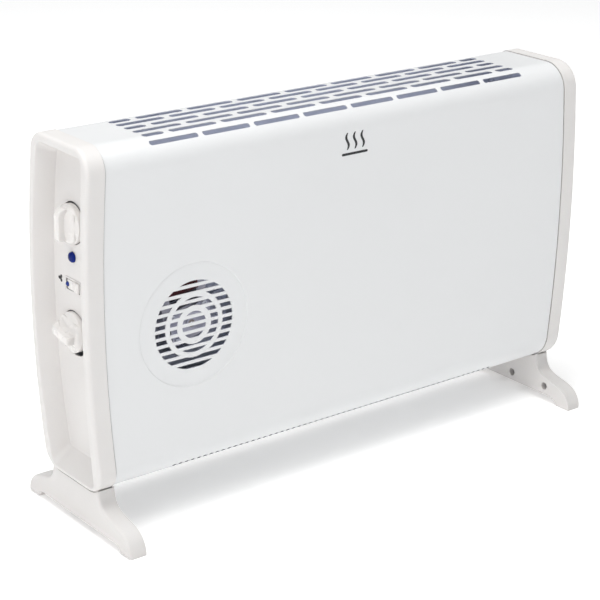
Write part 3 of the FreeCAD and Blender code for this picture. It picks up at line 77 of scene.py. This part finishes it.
class Material:
    """A procedural material. Texture coordinates are the object's own, in metres.

    Texture scales are in cells per metre. src and to are the ranges a value is mapped
    from and to, given as (start, end).
    """

    def __init__(self, name):
        self.material = bpy.data.materials.new(name)
        self.material.use_nodes = True
        self.tree = self.material.node_tree
        self.tree.nodes.clear()
        output = self.node("OutputMaterial")
        self.bsdf = self.node("BsdfPrincipled")
        self.put(output.inputs[0], self.bsdf.outputs[0])
        self.coords = self.node("TexCoord").outputs["Object"]

    def put(self, socket, value):
        """Link a socket into an input, or set the input's value."""
        if isinstance(value, bpy.types.NodeSocket):
            self.tree.links.new(value, socket)
        elif socket.type == "RGBA" and len(value) == 3:
            socket.default_value = (*value, 1.0)
        else:
            socket.default_value = value

    def node(self, kind, inputs=None, **settings):
        node = self.tree.nodes.new("ShaderNode" + kind)
        for key, value in settings.items():
            setattr(node, key, value)
        for key, value in (inputs or {}).items():
            self.put(node.inputs[key], value)
        return node

    def surface(self, **inputs):
        """Fill in the shader's inputs, named with _ for spaces; return the material."""
        for key, value in inputs.items():
            self.put(self.bsdf.inputs[key.replace("_", " ")], value)
        return self.material

    def subsurface(self, weight, radius):
        self.surface(Subsurface_Weight=weight, Subsurface_Radius=radius, Subsurface_Scale=1.0)

    # textures
    def scaled_coords(self, scale, stretch=(1, 1, 1)):
        size = tuple(scale*factor for factor in stretch)
        return self.node("Mapping", {"Vector": self.coords, "Scale": size}).outputs[0]

    def noise(self, scale, detail=3.0, roughness=0.55, stretch=(1, 1, 1)):
        return self.node("TexNoise", {
            "Vector": self.scaled_coords(scale, stretch), "Scale": 1.0,
            "Detail": detail, "Roughness": roughness}).outputs["Fac"]

    def voronoi(self, scale, output="Distance"):
        return self.node("TexVoronoi", {
            "Vector": self.scaled_coords(scale), "Scale": 1.0}).outputs[output]

    def wave(self, scale, axis, distortion, detail):
        return self.node("TexWave", {
            "Vector": self.coords, "Scale": scale, "Distortion": distortion,
            "Detail": detail}, bands_direction=axis).outputs["Fac"]

    def patches(self, scale, detail=3.0, src=(0.3, 0.7), to=(0.0, 1.0)):
        """Noise mapped to a range of values."""
        return self.span(self.noise(scale, detail), src, to)

    # arithmetic
    def calc(self, operation, a, b=0.0):
        return self.node("Math", {0: a, 1: b, 2: 0.0}, operation=operation).outputs[0]

    def add(self, a, b):
        return self.calc("ADD", a, b)

    def times(self, a, b):
        return self.calc("MULTIPLY", a, b)

    def vector_calc(self, operation, a, b=(0, 0, 0), output="Value"):
        return self.node("VectorMath", {0: a, 1: b}, operation=operation).outputs[output]

    def xyz(self, vector):
        return self.node("SeparateXYZ", {0: vector}).outputs

    def span(self, value, src, to=(0.0, 1.0), smooth=False):
        return self.node("MapRange", {
            0: value, 1: src[0], 2: src[1], 3: to[0], 4: to[1],
        }, interpolation_type="SMOOTHSTEP" if smooth else "LINEAR").outputs[0]

    def mix(self, factor, a, b, mode="MIX"):
        node = self.node("Mix", {"Factor": factor, "A": a, "B": b},
                         data_type="RGBA", blend_type=mode)
        return next(out for out in node.outputs if out.type == "RGBA")

    # surface shape
    def normal(self):
        return self.node("NewGeometry").outputs["Normal"]

    def soft_edge(self, radius, samples=5):
        """The normal with edges rounded off."""
        return self.node("Bevel", {"Radius": radius}, samples=samples).outputs[0]

    def edge(self, radius):
        """1 at a sharp convex or concave edge, 0 on open surface."""
        rounded = self.soft_edge(radius, samples=6)
        agreement = self.vector_calc("DOT_PRODUCT", rounded, self.normal())
        return self.span(agreement, src=(0.995, 0.8))

    def bump(self, height, distance, strength, normal=None):
        inputs = {"Strength": strength, "Distance": distance, "Height": height}
        if normal is not None:
            inputs["Normal"] = normal
        return self.node("Bump", inputs).outputs[0]

    # colour
    def paint_hollow_shade(self, colour, dark, reach, src, to):
        """Painted shade: mix in a darker colour where surfaces within reach close in."""
        openness = self.node("AmbientOcclusion", {"Distance": reach}, samples=6).outputs["AO"]
        return self.mix(self.span(openness, src, to), colour, dark)

    def paint_gap_shade(self, colour, dark):
        """Painted shade: mix in a dark colour in gaps a few millimetres wide."""
        return self.paint_hollow_shade(colour, dark, reach=0.0028, src=(0.05, 0.50), to=(0.85, 0.0))

    def tone(self, base, amount, scale, fine, fine_scale):
        """The base colour, varied slowly by amount and speckled darker by fine."""
        colour = self.mix(self.patches(scale), shade(base, 1-amount), shade(base, 1+amount*0.7))
        speckle = self.patches(fine_scale, detail=2, src=(0.35, 0.65), to=(1-fine, 1.0))
        grey = self.node("CombineColor", {0: speckle, 1: speckle, 2: speckle}).outputs[0]
        return self.mix(1.0, colour, grey, mode="MULTIPLY")


# ------------------------------------------------------------------ materials
def moulded(name, base, rough=0.42, grain=0.000035, grain_scale=1500, scatter=0.06,
            coat=0.0, hollow_reach=0.045, edge=0.0005):
    """Injection-moulded plastic: fine grain, faint flow tone, painted warm shade where surfaces
    close in and painted shade in narrow gaps.
    """
    m = Material(name)
    colour = m.tone(base, amount=0.018, scale=14.0, fine=0.02, fine_scale=1300.0)
    # painted shade: a warmer, darker copy of the base where surfaces close in, and a much
    # darker one in narrow gaps
    hollow_shade_colour = tuple(x*y for x, y in zip(base, (0.885, 0.855, 0.845)))
    colour = m.paint_hollow_shade(colour, hollow_shade_colour, reach=hollow_reach, src=(0.35, 1.0), to=(0.55, 0.0))
    colour = m.paint_gap_shade(colour, shade(base, 0.30))
    m.subsurface(weight=scatter, radius=(0.0022, 0.0019, 0.0016))
    if coat:
        m.surface(Coat_Weight=coat, Coat_Roughness=0.12)
    height = m.add(m.noise(grain_scale, roughness=0.6),
                   m.times(m.voronoi(grain_scale*0.55), 0.5))
    return m.surface(
        Base_Color=colour, IOR=1.46,
        Roughness=m.patches(scale=60.0, to=(rough-0.045, rough+0.045)),
        Normal=m.bump(height, distance=grain, strength=0.55, normal=m.soft_edge(edge)))


BRUSH_STRETCH = {None: (1, 1, 1), "X": (0.02, 1, 1), "Y": (1, 0.02, 1), "Z": (1, 1, 0.02)}


def metal(name, base, rough, brush=None, brush_scale=900.0, variation=0.08, edge=0.00025,
          grain=0.00001):
    """Bare metal: plain or brushed along one axis, patchy sheen, a painted highlight lightening
    the edges.
    """
    m = Material(name)
    colour = m.tone(base, amount=variation, scale=45.0, fine=0.06, fine_scale=1400.0)
    # painted highlight: edges are painted in a lighter copy of the base colour
    edge_highlight_colour = tuple(min(1.0, channel*1.25+0.05) for channel in base)
    colour = m.mix(m.times(m.edge(edge*2), 0.5), colour, edge_highlight_colour)
    brushing = m.noise(brush_scale, detail=4, roughness=0.65, stretch=BRUSH_STRETCH[brush])
    roughness = m.add(m.patches(scale=70.0, to=(rough-0.06, rough+0.06)),
                      m.span(brushing, src=(0.3, 0.7), to=(-0.05, 0.05)))
    return m.surface(
        Base_Color=colour, Metallic=1.0, Roughness=roughness,
        Normal=m.bump(brushing, distance=grain, strength=0.6, normal=m.soft_edge(edge)))


def galvanised(name, base):
    """Zinc-coated sheet with spangle cells of differing brightness."""
    m = Material(name)
    spangle = m.xyz(m.voronoi(scale=95.0, output="Color"))[0]
    colour = m.mix(m.span(spangle, src=(0.0, 1.0)), shade(base, 0.80), shade(base, 1.16))
    bloom = m.patches(scale=24.0, detail=4, src=(0.45, 0.75), to=(0.0, 0.35))
    colour = m.mix(bloom, colour, (0.72, 0.73, 0.75))
    roughness = m.add(m.span(spangle, src=(0, 1), to=(0.36, 0.54)),
                      m.patches(scale=500.0, to=(-0.05, 0.05)))
    height = m.add(m.times(spangle, 0.4), m.noise(scale=1100.0))
    return m.surface(
        Base_Color=colour, Metallic=0.45, Roughness=roughness,
        Normal=m.bump(height, distance=0.000012, strength=0.6, normal=m.soft_edge(0.0003)))


def steel_paint(name):
    """White enamelled sheet: faint orange peel outside, blue-grey primer on the inside, painted
    shade where surfaces close in and in gaps outside, and painted shade darkening the lower
    inside.
    """
    middle_height = 0.224       # Z of the line inside the casing that inner faces look to
    depth_weight = 3.2          # stretches Y, as the casing is shallow
    inward_limit = -0.012       # faces below this look inward
    shadow_heights = (0.085, 0.150)     # Z where the dark lower inside begins to fade, ends

    m = Material(name)
    outer = m.tone((0.782, 0.792, 0.800), amount=0.012, scale=2.2, fine=0.012,
                   fine_scale=1500.0)
    # painted shade: a grey-blue darkening where surfaces close in, and a near-black one in
    # narrow gaps
    outer = m.paint_hollow_shade(outer, (0.66, 0.68, 0.70), reach=0.012, src=(0.4, 1.0), to=(0.35, 0.0))
    outer = m.paint_gap_shade(outer, (0.18, 0.19, 0.21))
    inner = m.tone((0.70, 0.73, 0.82), amount=0.06, scale=30.0, fine=0.05, fine_scale=900.0)
    _, y, z = m.xyz(m.coords)
    # painted shade: the inside turns a near-black blue towards the bottom
    low = m.span(z, src=shadow_heights, to=(1.0, 0.0), smooth=True)
    inner = m.mix(low, inner, (0.030, 0.033, 0.060))
    from_middle = m.node("CombineXYZ", {
        1: m.times(y, depth_weight), 2: m.calc("SUBTRACT", z, middle_height)}).outputs[0]
    facing = m.vector_calc("DOT_PRODUCT", from_middle, m.normal())
    inside = m.calc("LESS_THAN", facing, inward_limit)
    height = m.add(m.noise(scale=420.0, detail=2, roughness=0.4),
                   m.times(m.noise(scale=1900.0, detail=2), 0.25))
    return m.surface(
        Base_Color=m.mix(inside, outer, inner),
        Roughness=m.add(m.patches(scale=30.0, to=(0.30, 0.37)), m.times(inside, 0.12)),
        IOR=1.5, Coat_Weight=0.18, Coat_Roughness=0.18,
        Normal=m.bump(height, distance=0.00003, strength=0.5, normal=m.soft_edge(0.00045)))


def glazed(name):
    """Cream glazed ceramic with small dark specks."""
    m = Material(name)
    colour = m.tone((0.84, 0.81, 0.74), amount=0.04, scale=60.0, fine=0.03, fine_scale=2200.0)
    specks = m.span(m.voronoi(scale=700.0), src=(0.0, 0.12), to=(0.55, 0.0))
    m.subsurface(weight=0.08, radius=(0.001, 0.0009, 0.0007))
    return m.surface(
        Base_Color=m.mix(specks, colour, (0.45, 0.38, 0.30)),
        Roughness=m.patches(scale=150.0, to=(0.16, 0.34)),
        Coat_Weight=0.6, Coat_Roughness=0.08,
        Normal=m.bump(m.noise(scale=900.0), distance=0.00002, strength=0.5,
                      normal=m.soft_edge(0.0005)))


# (heat, colour): the two ends of the ramp, then the tints between them
HEAT_TINTS = [
    (0.12, (0.58, 0.58, 0.57, 1)),
    (0.92, (0.20, 0.21, 0.30, 1)),
    (0.38, (0.56, 0.47, 0.33, 1)),
    (0.62, (0.40, 0.28, 0.22, 1)),
    (0.78, (0.28, 0.22, 0.30, 1)),
]


def tinted_rod(name):
    """Stainless sheath, with straw and blue heat tints that fade towards its ends in X."""
    m = Material(name)
    x = m.xyz(m.coords)[0]
    middle = m.span(m.calc("ABSOLUTE", x), src=(0.18, 0.29), to=(0.5, 0.0))
    heat = m.add(m.times(m.noise(scale=26.0), 0.55), middle)
    ramp = m.node("ValToRGB", {0: heat})
    elements = ramp.color_ramp.elements
    for i, (position, colour) in enumerate(HEAT_TINTS):
        element = elements[i] if i < 2 else elements.new(position)
        element.position = position
        element.color = colour
    drawn = m.noise(scale=1200.0, roughness=0.6, stretch=(1, 0.05, 0.05))
    return m.surface(
        Base_Color=ramp.outputs[0], Metallic=0.95,
        Roughness=m.span(drawn, src=(0.3, 0.7), to=(0.28, 0.42)),
        Normal=m.bump(drawn, distance=0.00001, strength=0.5))


def lens(name):
    """Blue pilot lens: moulded rings about X under a faint clear coat."""
    lens_radius = 0.0056
    ring_rate = 7800.0          # radians of ring wave per metre of radius

    m = Material(name)
    low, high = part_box("pilot_lens")
    local = m.vector_calc("SUBTRACT", m.coords, tuple((low+high)/2), output="Vector")
    _, y, z = m.xyz(local)
    radius = m.calc("SQRT", m.add(m.times(y, y), m.times(z, z)))
    rings = m.calc("SINE", m.times(radius, ring_rate))
    colour = m.mix(m.span(radius, src=(0.0, lens_radius)),
                   (0.002, 0.008, 0.11), (0.004, 0.020, 0.22))
    cloud = m.patches(scale=900.0, detail=2, src=(0.4, 0.7), to=(0.0, 0.35))
    return m.surface(
        Base_Color=m.mix(cloud, colour, (0.005, 0.028, 0.27)),
        Roughness=m.span(rings, src=(-1, 1), to=(0.16, 0.26)),
        Coat_Weight=0.08, Coat_Roughness=0.06, IOR=1.45,
        Transmission_Weight=0.06, Specular_IOR_Level=0.12,
        Normal=m.bump(rings, distance=0.00008, strength=0.3))


def ink(name, base, rough=0.5):
    """Flat printed colour, slightly uneven."""
    m = Material(name)
    return m.surface(
        Base_Color=m.tone(base, amount=0.2, scale=300.0, fine=0.25, fine_scale=3000.0),
        Roughness=m.patches(scale=900.0, to=(rough-0.1, rough+0.1)),
        Normal=m.bump(m.noise(scale=2600.0), distance=0.00001, strength=0.5))


def laminated(name):
    """Varnished steel laminations stacked along Y: light and dark bands of about 0.5 mm."""
    m = Material(name)
    bands = m.wave(scale=320.0, axis="Y", distortion=0.15, detail=2.0)
    colour = m.mix(m.span(bands, src=(0.2, 0.8)), (0.20, 0.20, 0.23), (0.40, 0.40, 0.45))
    stain = m.patches(scale=60.0, detail=4, src=(0.55, 0.8), to=(0.0, 0.3))
    return m.surface(
        Base_Color=m.mix(stain, colour, (0.26, 0.21, 0.18)), Metallic=0.5,
        Roughness=m.span(bands, src=(0, 1), to=(0.5, 0.3)),
        Coat_Weight=0.3, Coat_Roughness=0.3,
        Normal=m.bump(bands, distance=0.00006, strength=0.6))


def enamelled_wire(name):
    """Dark red enamel on the winding wire."""
    m = Material(name)
    colour = m.mix(m.patches(scale=160.0), (0.028, 0.002, 0.004), (0.065, 0.003, 0.006))
    flecks = m.patches(scale=700.0, src=(0.55, 0.8), to=(0.0, 0.5))
    return m.surface(
        Base_Color=m.mix(flecks, colour, (0.10, 0.010, 0.012)), Metallic=0.15,
        Roughness=m.patches(scale=300.0, to=(0.38, 0.54)),
        Coat_Weight=0.15, Coat_Roughness=0.25, Specular_IOR_Level=0.3,
        Normal=m.bump(m.noise(scale=1800.0), distance=0.00002, strength=0.5))


def sheath(name, base, rough):
    """Extruded PVC: slow tone drift, fine grain and scuffs."""
    m = Material(name)
    colour = m.tone(base, amount=0.05, scale=30.0, fine=0.04, fine_scale=1200.0)
    scuffs = m.patches(scale=220.0, detail=4, src=(0.62, 0.8), to=(0.0, 0.25))
    m.subsurface(weight=0.05, radius=(0.001, 0.001, 0.001))
    height = m.add(m.noise(scale=900.0), m.noise(scale=2400.0, detail=2))
    return m.surface(
        Base_Color=m.mix(scuffs, colour, shade(base, 0.75)),
        Roughness=m.patches(scale=180.0, to=(rough-0.08, rough+0.08)),
        Normal=m.bump(height, distance=0.00003, strength=0.5))


def glass_envelope(name):
    """Warm-tinted clear glass."""
    m = Material(name)
    return m.surface(
        Base_Color=m.mix(m.patches(scale=400.0, detail=2),
                         (0.95, 0.72, 0.55), (1.0, 0.85, 0.72)),
        Transmission_Weight=0.85, IOR=1.47,
        Roughness=m.patches(scale=600.0, detail=2, to=(0.02, 0.10)),
        Normal=m.bump(m.noise(scale=300.0, detail=2), distance=0.00004, strength=0.4))


# name: (function, its arguments)
RECIPES = {
    "cap_plastic": (moulded, dict(base=(0.758, 0.742, 0.730), rough=0.40)),
    "steel_white": (steel_paint, {}),
    "knob_plastic": (moulded, dict(
        base=(0.805, 0.785, 0.768), rough=0.26, grain=0.000012, grain_scale=900,
        scatter=0.08, coat=0.35, hollow_reach=0.02, edge=0.0016)),
    "galvanised": (galvanised, dict(base=(0.68, 0.70, 0.78))),
    "zinc": (metal, dict(base=(0.66, 0.67, 0.69), rough=0.32)),
    "bright_steel": (metal, dict(base=(0.62, 0.63, 0.65), rough=0.22, brush="Y")),
    "stainless": (tinted_rod, {}),
    "fins": (metal, dict(base=(0.76, 0.77, 0.79), rough=0.36, brush="Z", brush_scale=1300.0)),
    "ceramic": (glazed, {}),
    "tab_brass": (metal, dict(base=(0.76, 0.62, 0.33), rough=0.30, brush="X")),
    "nickel_pin": (metal, dict(base=(0.74, 0.72, 0.67), rough=0.20, brush="X")),
    "bronze": (metal, dict(base=(0.27, 0.24, 0.22), rough=0.50)),
    "black_plastic": (moulded, dict(
        base=(0.030, 0.030, 0.033), rough=0.46, grain=0.00003, grain_scale=1400,
        scatter=0.0)),
    "grey_plastic": (moulded, dict(base=(0.45, 0.45, 0.44))),
    "lens_blue": (lens, {}),
    "neon_glass": (glass_envelope, {}),
    "print_black": (ink, dict(base=(0.020, 0.020, 0.024))),
    "dot_blue": (ink, dict(base=(0.008, 0.035, 0.26), rough=0.3)),
    "lamination": (laminated, {}),
    "coil_red": (enamelled_wire, {}),
    "die_cast": (metal, dict(
        base=(0.40, 0.40, 0.45), rough=0.50, brush_scale=700.0, variation=0.10,
        edge=0.0004, grain=0.00004)),
    "cable_white": (sheath, dict(base=(0.78, 0.78, 0.765), rough=0.42)),
    "wire_brown": (sheath, dict(base=(0.20, 0.075, 0.03), rough=0.38)),
    "wire_blue": (sheath, dict(base=(0.03, 0.12, 0.42), rough=0.38)),
    "wire_black": (sheath, dict(base=(0.022, 0.022, 0.024), rough=0.5)),
    "coil_tape": (ink, dict(base=(0.13, 0.012, 0.014), rough=0.45)),
}
MATS = {name: make(name, **values) for name, (make, values) in RECIPES.items()}

for name, ob in NODES.items():
    ob.data.materials.clear()
    ob.data.materials.append(MATS[SLOT_OF[name]])


# ------------------------------------------------------------------ mesh helpers
def circle(centre, side, across, radius, count):
    """Points round a circle in the plane of two unit vectors."""
    angles = [2*math.pi*j/count for j in range(count)]
    return [centre + side*(radius*math.cos(angle)) + across*(radius*math.sin(angle))
            for angle in angles]


class Build:
    """Collects quads for one mesh."""

    def __init__(self):
        self.vertices, self.faces = [], []

    def rings(self, rings):
        """Skin a series of equal rings, the last joined to the first."""
        base, count = len(self.vertices), len(rings[0])
        for ring in rings:
            self.vertices += [tuple(point) for point in ring]
        for i in range(len(rings)):
            a, b = base + i*count, base + (i+1) % len(rings)*count
            for j in range(count):
                after = (j+1) % count
                self.faces.append((a+j, a+after, b+after, b+j))

    def tube(self, path, radius, sides):
        """A round wire along a closed path of Vectors."""
        rings = []
        side = None
        for i, point in enumerate(path):
            along = (path[(i+1) % len(path)] - path[i-1]).normalized()
            if side is None:
                side = X_AXIS if abs(along.x) < 0.9 else Y_AXIS
            side = (side - along*side.dot(along)).normalized()
            rings.append(circle(point, side, along.cross(side), radius, sides))
        self.rings(rings)

    def lathe(self, profile, origin, axis, side, segments):
        """Turn a closed outline of (height, radius) points about axis through origin."""
        across = axis.cross(side)
        self.rings([circle(origin + axis*height, side, across, radius, segments)
                    for height, radius in profile])

    def make(self, name, material, sharp_angle):
        """Link the mesh as an object, smooth but for edges above sharp_angle degrees."""
        mesh = bpy.data.meshes.new(name)
        mesh.from_pydata(self.vertices, [], self.faces)
        mesh.validate()
        bm = bmesh.new()
        bm.from_mesh(mesh)
        bmesh.ops.recalc_face_normals(bm, faces=bm.faces)
        bm.to_mesh(mesh)
        bm.free()
        mesh.shade_smooth()
        mesh.set_sharp_from_angle(angle=math.radians(sharp_angle))
        mesh.materials.append(material)
        return link_object(name, mesh)


def link_object(name, data):
    ob = bpy.data.objects.new(name, data)
    bpy.context.scene.collection.objects.link(ob)
    return ob


def round_loop(a, b, radius, per=8):
    """Points of a rounded rectangle of half sizes a and b, per points to a corner."""
    corners = ((a-radius, b-radius), (-a+radius, b-radius),
               (-a+radius, -b+radius), (a-radius, -b+radius))
    points = []
    for quarter, (x, y) in enumerate(corners):
        for i in range(per):
            angle = math.pi/2*(quarter + i/(per-1))
            points.append((x + radius*math.cos(angle), y + radius*math.sin(angle)))
    return points


# ------------------------------------------------------------------ motor winding
COIL_CORNER = 0.0040            # corner radius of the coil and of its bobbin cheeks
WIRE_RADIUS = 0.00052
TURN_PITCH = 2*WIRE_RADIUS*1.01
CHEEK_ROOM = 0.0032             # width without turns, both ends together
CHEEK_THICKNESS = 0.0013
# cheek rim: (distance in from the outer face, inset of the outline)
CHEEK_RIM = ((0.0, 0.0005), (0.0003, 0.0), (0.0010, 0.0), (CHEEK_THICKNESS, 0.0004))
CORE_HALF_HEIGHT = 0.00515      # the hole through the cheeks
CORE_CORNER = 0.0003
CORE_CLEARANCE = 0.00015


class CoilFrame:
    """The coil's centre, directions and half sizes. It is tilted in the XZ plane."""

    def __init__(self):
        low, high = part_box("motor_coil")
        shaft_low, shaft_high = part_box("motor_shaft")
        self.centre = (low+high)/2
        shaft = (shaft_low+shaft_high)/2
        self.up = Vector((self.centre.x-shaft.x, 0.0, self.centre.z-shaft.z)).normalized()
        self.side = Y_AXIS.cross(self.up)
        if self.side.x < 0:
            self.side = -self.side
        # the tilted rectangle's own sizes, from those of its bounding box
        cosine, sine = abs(self.up.z), abs(self.up.x)
        box_width, box_height = high.x-low.x, high.z-low.z
        scale = cosine*cosine - sine*sine
        self.half_width = (box_width*cosine - box_height*sine)/scale/2
        self.half_height = (box_height*cosine - box_width*sine)/scale/2
        self.half_depth = (high.y-low.y)/2

    def ring(self, along, loop, y_shift=0.0):
        """Place a flat loop of (y, up) points at a distance along the coil."""
        return [self.centre + self.side*along + Y_AXIS*(y+y_shift) + self.up*z
                for y, z in loop]


def field_winding(coil):
    """Two layers of separate wire turns, the inner one set half a turn aside."""
    build = Build()
    turns = int((2*coil.half_width - CHEEK_ROOM)/TURN_PITCH)
    for layer, inset in enumerate((WIRE_RADIUS, WIRE_RADIUS*2.75)):
        loop = round_loop(coil.half_depth-inset, coil.half_height-inset,
                          COIL_CORNER-inset*0.5)
        for i in range(turns-layer):
            along = (i + 0.5*layer - (turns-1)/2)*TURN_PITCH
            build.tube(coil.ring(along, loop), WIRE_RADIUS, sides=8)
    ob = build.make("field_winding", MATS["coil_red"], sharp_angle=40.0)
    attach(ob, "body")
    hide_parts("motor_coil")


def winding_bobbin(coil):
    """A cheek at each end of the winding, with a hole for the stator core."""
    low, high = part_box("motor_stator")
    hole_shift = (low.y+high.y)/2 - coil.centre.y
    hole_loop = round_loop((high.y-low.y)/2 + CORE_CLEARANCE, CORE_HALF_HEIGHT, CORE_CORNER)
    build = Build()
    for end in (-1, 1):
        rim = [coil.ring(end*(coil.half_width-depth),
                         round_loop(coil.half_depth-inset, coil.half_height-inset, COIL_CORNER))
               for depth, inset in CHEEK_RIM]
        hole = [coil.ring(end*(coil.half_width-depth), hole_loop, hole_shift)
                for depth in (CHEEK_THICKNESS, 0.0)]
        build.rings(rim+hole)
    ob = build.make("winding_bobbin", MATS["coil_tape"], sharp_angle=30.0)
    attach(ob, "body")


# ------------------------------------------------------------------ lead grip
GRIP_BORE = 0.00355
GRIP_NECK = 0.0064              # radius in the groove and behind the flange
GRIP_GROOVE = 0.0008            # groove width, just inside the back panel's outer face
FLANGE_THICKNESS = 0.0026
RIBS = 6
RIB_RADIUS = 0.0062
RIB_TAPER = 0.0014              # loss of radius over all the ribs
RIB_DEPTH = 0.0011


def lead_grip():
    """The lead's strain relief, with its flexing ribs tapering towards +Y."""
    low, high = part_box("cord_grip")
    centre = (low+high)/2
    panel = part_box("back_panel")[1].y
    flange = (high.x-low.x)/2
    ribs_start = panel+FLANGE_THICKNESS
    profile = [     # (y, radius)
        (low.y, GRIP_BORE), (low.y, flange-0.0012), (low.y+0.0004, flange-0.0008),
        (panel-GRIP_GROOVE, flange-0.0008), (panel-GRIP_GROOVE, GRIP_NECK),
        (panel, GRIP_NECK), (panel, flange-0.0004), (panel+0.0004, flange),
        (panel+0.0020, flange), (ribs_start, flange-0.0006), (ribs_start, GRIP_NECK),
    ]
    pitch = (high.y-ribs_start)/RIBS
    for i in range(RIBS):
        start = ribs_start + pitch*i
        crest = RIB_RADIUS - RIB_TAPER*i/RIBS
        root = crest-RIB_DEPTH
        profile += [(start, crest), (start+pitch*0.60, crest-0.00015),
                    (start+pitch*0.66, root), (start+pitch*0.96, root)]
    profile += [(high.y, RIB_RADIUS-RIB_TAPER), (high.y, GRIP_BORE)]
    build = Build()
    build.lathe(profile, Vector((centre.x, 0, centre.z)), Y_AXIS, X_AXIS, segments=56)
    ob = build.make("lead_grip", MATS["cap_plastic"], sharp_angle=35.0)
    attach(ob, "body")
    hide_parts("cord_grip")


# ------------------------------------------------------------------ fin collars
FIN_PITCH = 0.007
FIN_THICKNESS = 0.0005
ROD_RADIUS = 0.0040
# (height off the fin, distance out from the rod)
COLLAR_PROFILE = ((0.0, 0.0014), (0.0003, 0.0008), (0.0012, 0.00045),
                  (0.0026, 0.0004), (0.0026, 0.00002), (0.0, 0.00002))


def fin_collars():
    """Drawn collars on the +X face of each fin, where it grips the two outer rods."""
    low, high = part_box("element_fins")
    rod_low, rod_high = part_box("element_rods")
    rod_z = (rod_low.z+rod_high.z)/2
    count = int(round((high.x-low.x-FIN_THICKNESS)/FIN_PITCH))+1
    profile = [(height, ROD_RADIUS+out) for height, out in COLLAR_PROFILE]
    build = Build()
    for y in (rod_low.y+ROD_RADIUS, rod_high.y-ROD_RADIUS):
        for i in range(count):
            x = low.x + FIN_PITCH*i + FIN_THICKNESS
            build.lathe(profile, Vector((x, y, rod_z)), X_AXIS, Z_AXIS, segments=20)
    ob = build.make("fin_collars", MATS["fins"], sharp_angle=40.0)
    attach(ob, "body")


coil_frame = CoilFrame()
field_winding(coil_frame)
winding_bobbin(coil_frame)
lead_grip()
fin_collars()


# ------------------------------------------------------------------ studio
def studio_floor():
    """A pale floor that glows more away from the heater."""
    half = 14.0
    mesh = bpy.data.meshes.new("studio_floor")
    corners = [(-half, -half, 0), (half, -half, 0), (half, half, 0), (-half, half, 0)]
    mesh.from_pydata(corners, [], [(0, 1, 2, 3)])
    ob = link_object("studio_floor", mesh)
    m = Material("studio_floor")
    distance = m.vector_calc("LENGTH", m.coords)
    mesh.materials.append(m.surface(
        Base_Color=m.mix(m.patches(scale=1.1, detail=2),
                         (0.930, 0.930, 0.930), (0.945, 0.945, 0.943)),
        Roughness=0.9, Specular_IOR_Level=0.1, Emission_Color=(1.0, 1.0, 1.0),
        Emission_Strength=m.span(distance, src=(0.45, 1.8), to=(0.26, 0.5), smooth=True)))
    # just below the lowest point, so that the faces don't coincide
    ob.location.z = min(0.0, CAD_BOX[0].z) - 0.0002


def studio_world():
    world = bpy.data.worlds.new("studio")
    bpy.context.scene.world = world
    world.use_nodes = True
    background = world.node_tree.nodes["Background"]
    background.inputs["Color"].default_value = (0.965, 0.980, 1.0, 1)
    background.inputs["Strength"].default_value = 0.265


def softbox(name, place, target, size, power, colour):
    """A rectangular area light aimed at target; power is in watts."""
    light = bpy.data.lights.new(name, "AREA")
    light.shape = "RECTANGLE"
    light.size, light.size_y = size
    light.energy = power
    light.color = colour
    ob = link_object(name, light)
    ob.location = place
    ob.rotation_mode = "QUATERNION"
    ob.rotation_quaternion = (Vector(target)-Vector(place)).to_track_quat("-Z", "Y")
    return ob


def studio_lights():
    softbox("overhead", place=(-0.3, -0.2, 2.6), target=(0.0, 0.0, 0.2),
            size=(2.4, 2.0), power=69.0, colour=(1.0, 0.995, 0.985))
    softbox("left_fill", place=(-2.4, -0.6, 1.0), target=(-0.2, 0.0, 0.25),
            size=(1.6, 1.6), power=14.3, colour=(1.0, 0.99, 0.98))
    softbox("front_fill", place=(0.9, -2.6, 1.3), target=(0.0, 0.0, 0.2),
            size=(2.2, 1.6), power=0.1, colour=(0.98, 0.99, 1.0))


def casing_lamps():
    """Two weak lamps inside the casing lift the slots and the grille out of black."""
    shaft_low, shaft_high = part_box("motor_shaft")
    shaft = (shaft_low+shaft_high)/2
    front_low, front_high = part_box("front_panel")
    cool = (0.86, 0.88, 1.0)
    lamps = (
        softbox("under_outlets", place=(0.0, -0.030, front_high.z-0.085),
                target=(0.0, 0.030, front_high.z-0.02),
                size=(0.50, 0.04), power=0.070, colour=cool),
        softbox("behind_grille", place=(shaft.x, front_low.y+0.0027, shaft.z),
                target=(shaft.x, 0.1, shaft.z),
                size=(0.088, 0.088), power=0.008, colour=cool),
    )
    for lamp in lamps:
        lamp.visible_camera = False


def camera():
    """A long lens from the front left, a little above."""
    azimuth = math.radians(-38.008)     # from -Y, negative towards -X
    elevation = math.radians(20.381)
    roll = math.radians(0.624)
    place = (-1.14497, -1.42780, 0.85215)

    data = bpy.data.cameras.new("camera")
    ob = link_object("camera", data)
    data.sensor_fit = "HORIZONTAL"
    data.sensor_width = 36.0
    data.lens = 109.0002
    data.clip_start = 0.05
    data.clip_end = 60.0
    back = Vector((math.sin(azimuth)*math.cos(elevation),
                   -math.cos(azimuth)*math.cos(elevation), math.sin(elevation)))
    right = (-back).cross(Z_AXIS).normalized()
    up = right.cross(-back)
    rolled_right = math.cos(roll)*right + math.sin(roll)*up
    rolled_up = -math.sin(roll)*right + math.cos(roll)*up
    matrix = Matrix((rolled_right, rolled_up, back)).transposed().to_4x4()
    matrix.translation = place
    ob.matrix_world = matrix
    bpy.context.scene.camera = ob


studio_floor()
studio_world()
studio_lights()
casing_lamps()
camera()

view = bpy.context.scene.view_settings
view.view_transform = "Standard"
view.look = "None"
view.exposure = 0.0
view.gamma = 1.0
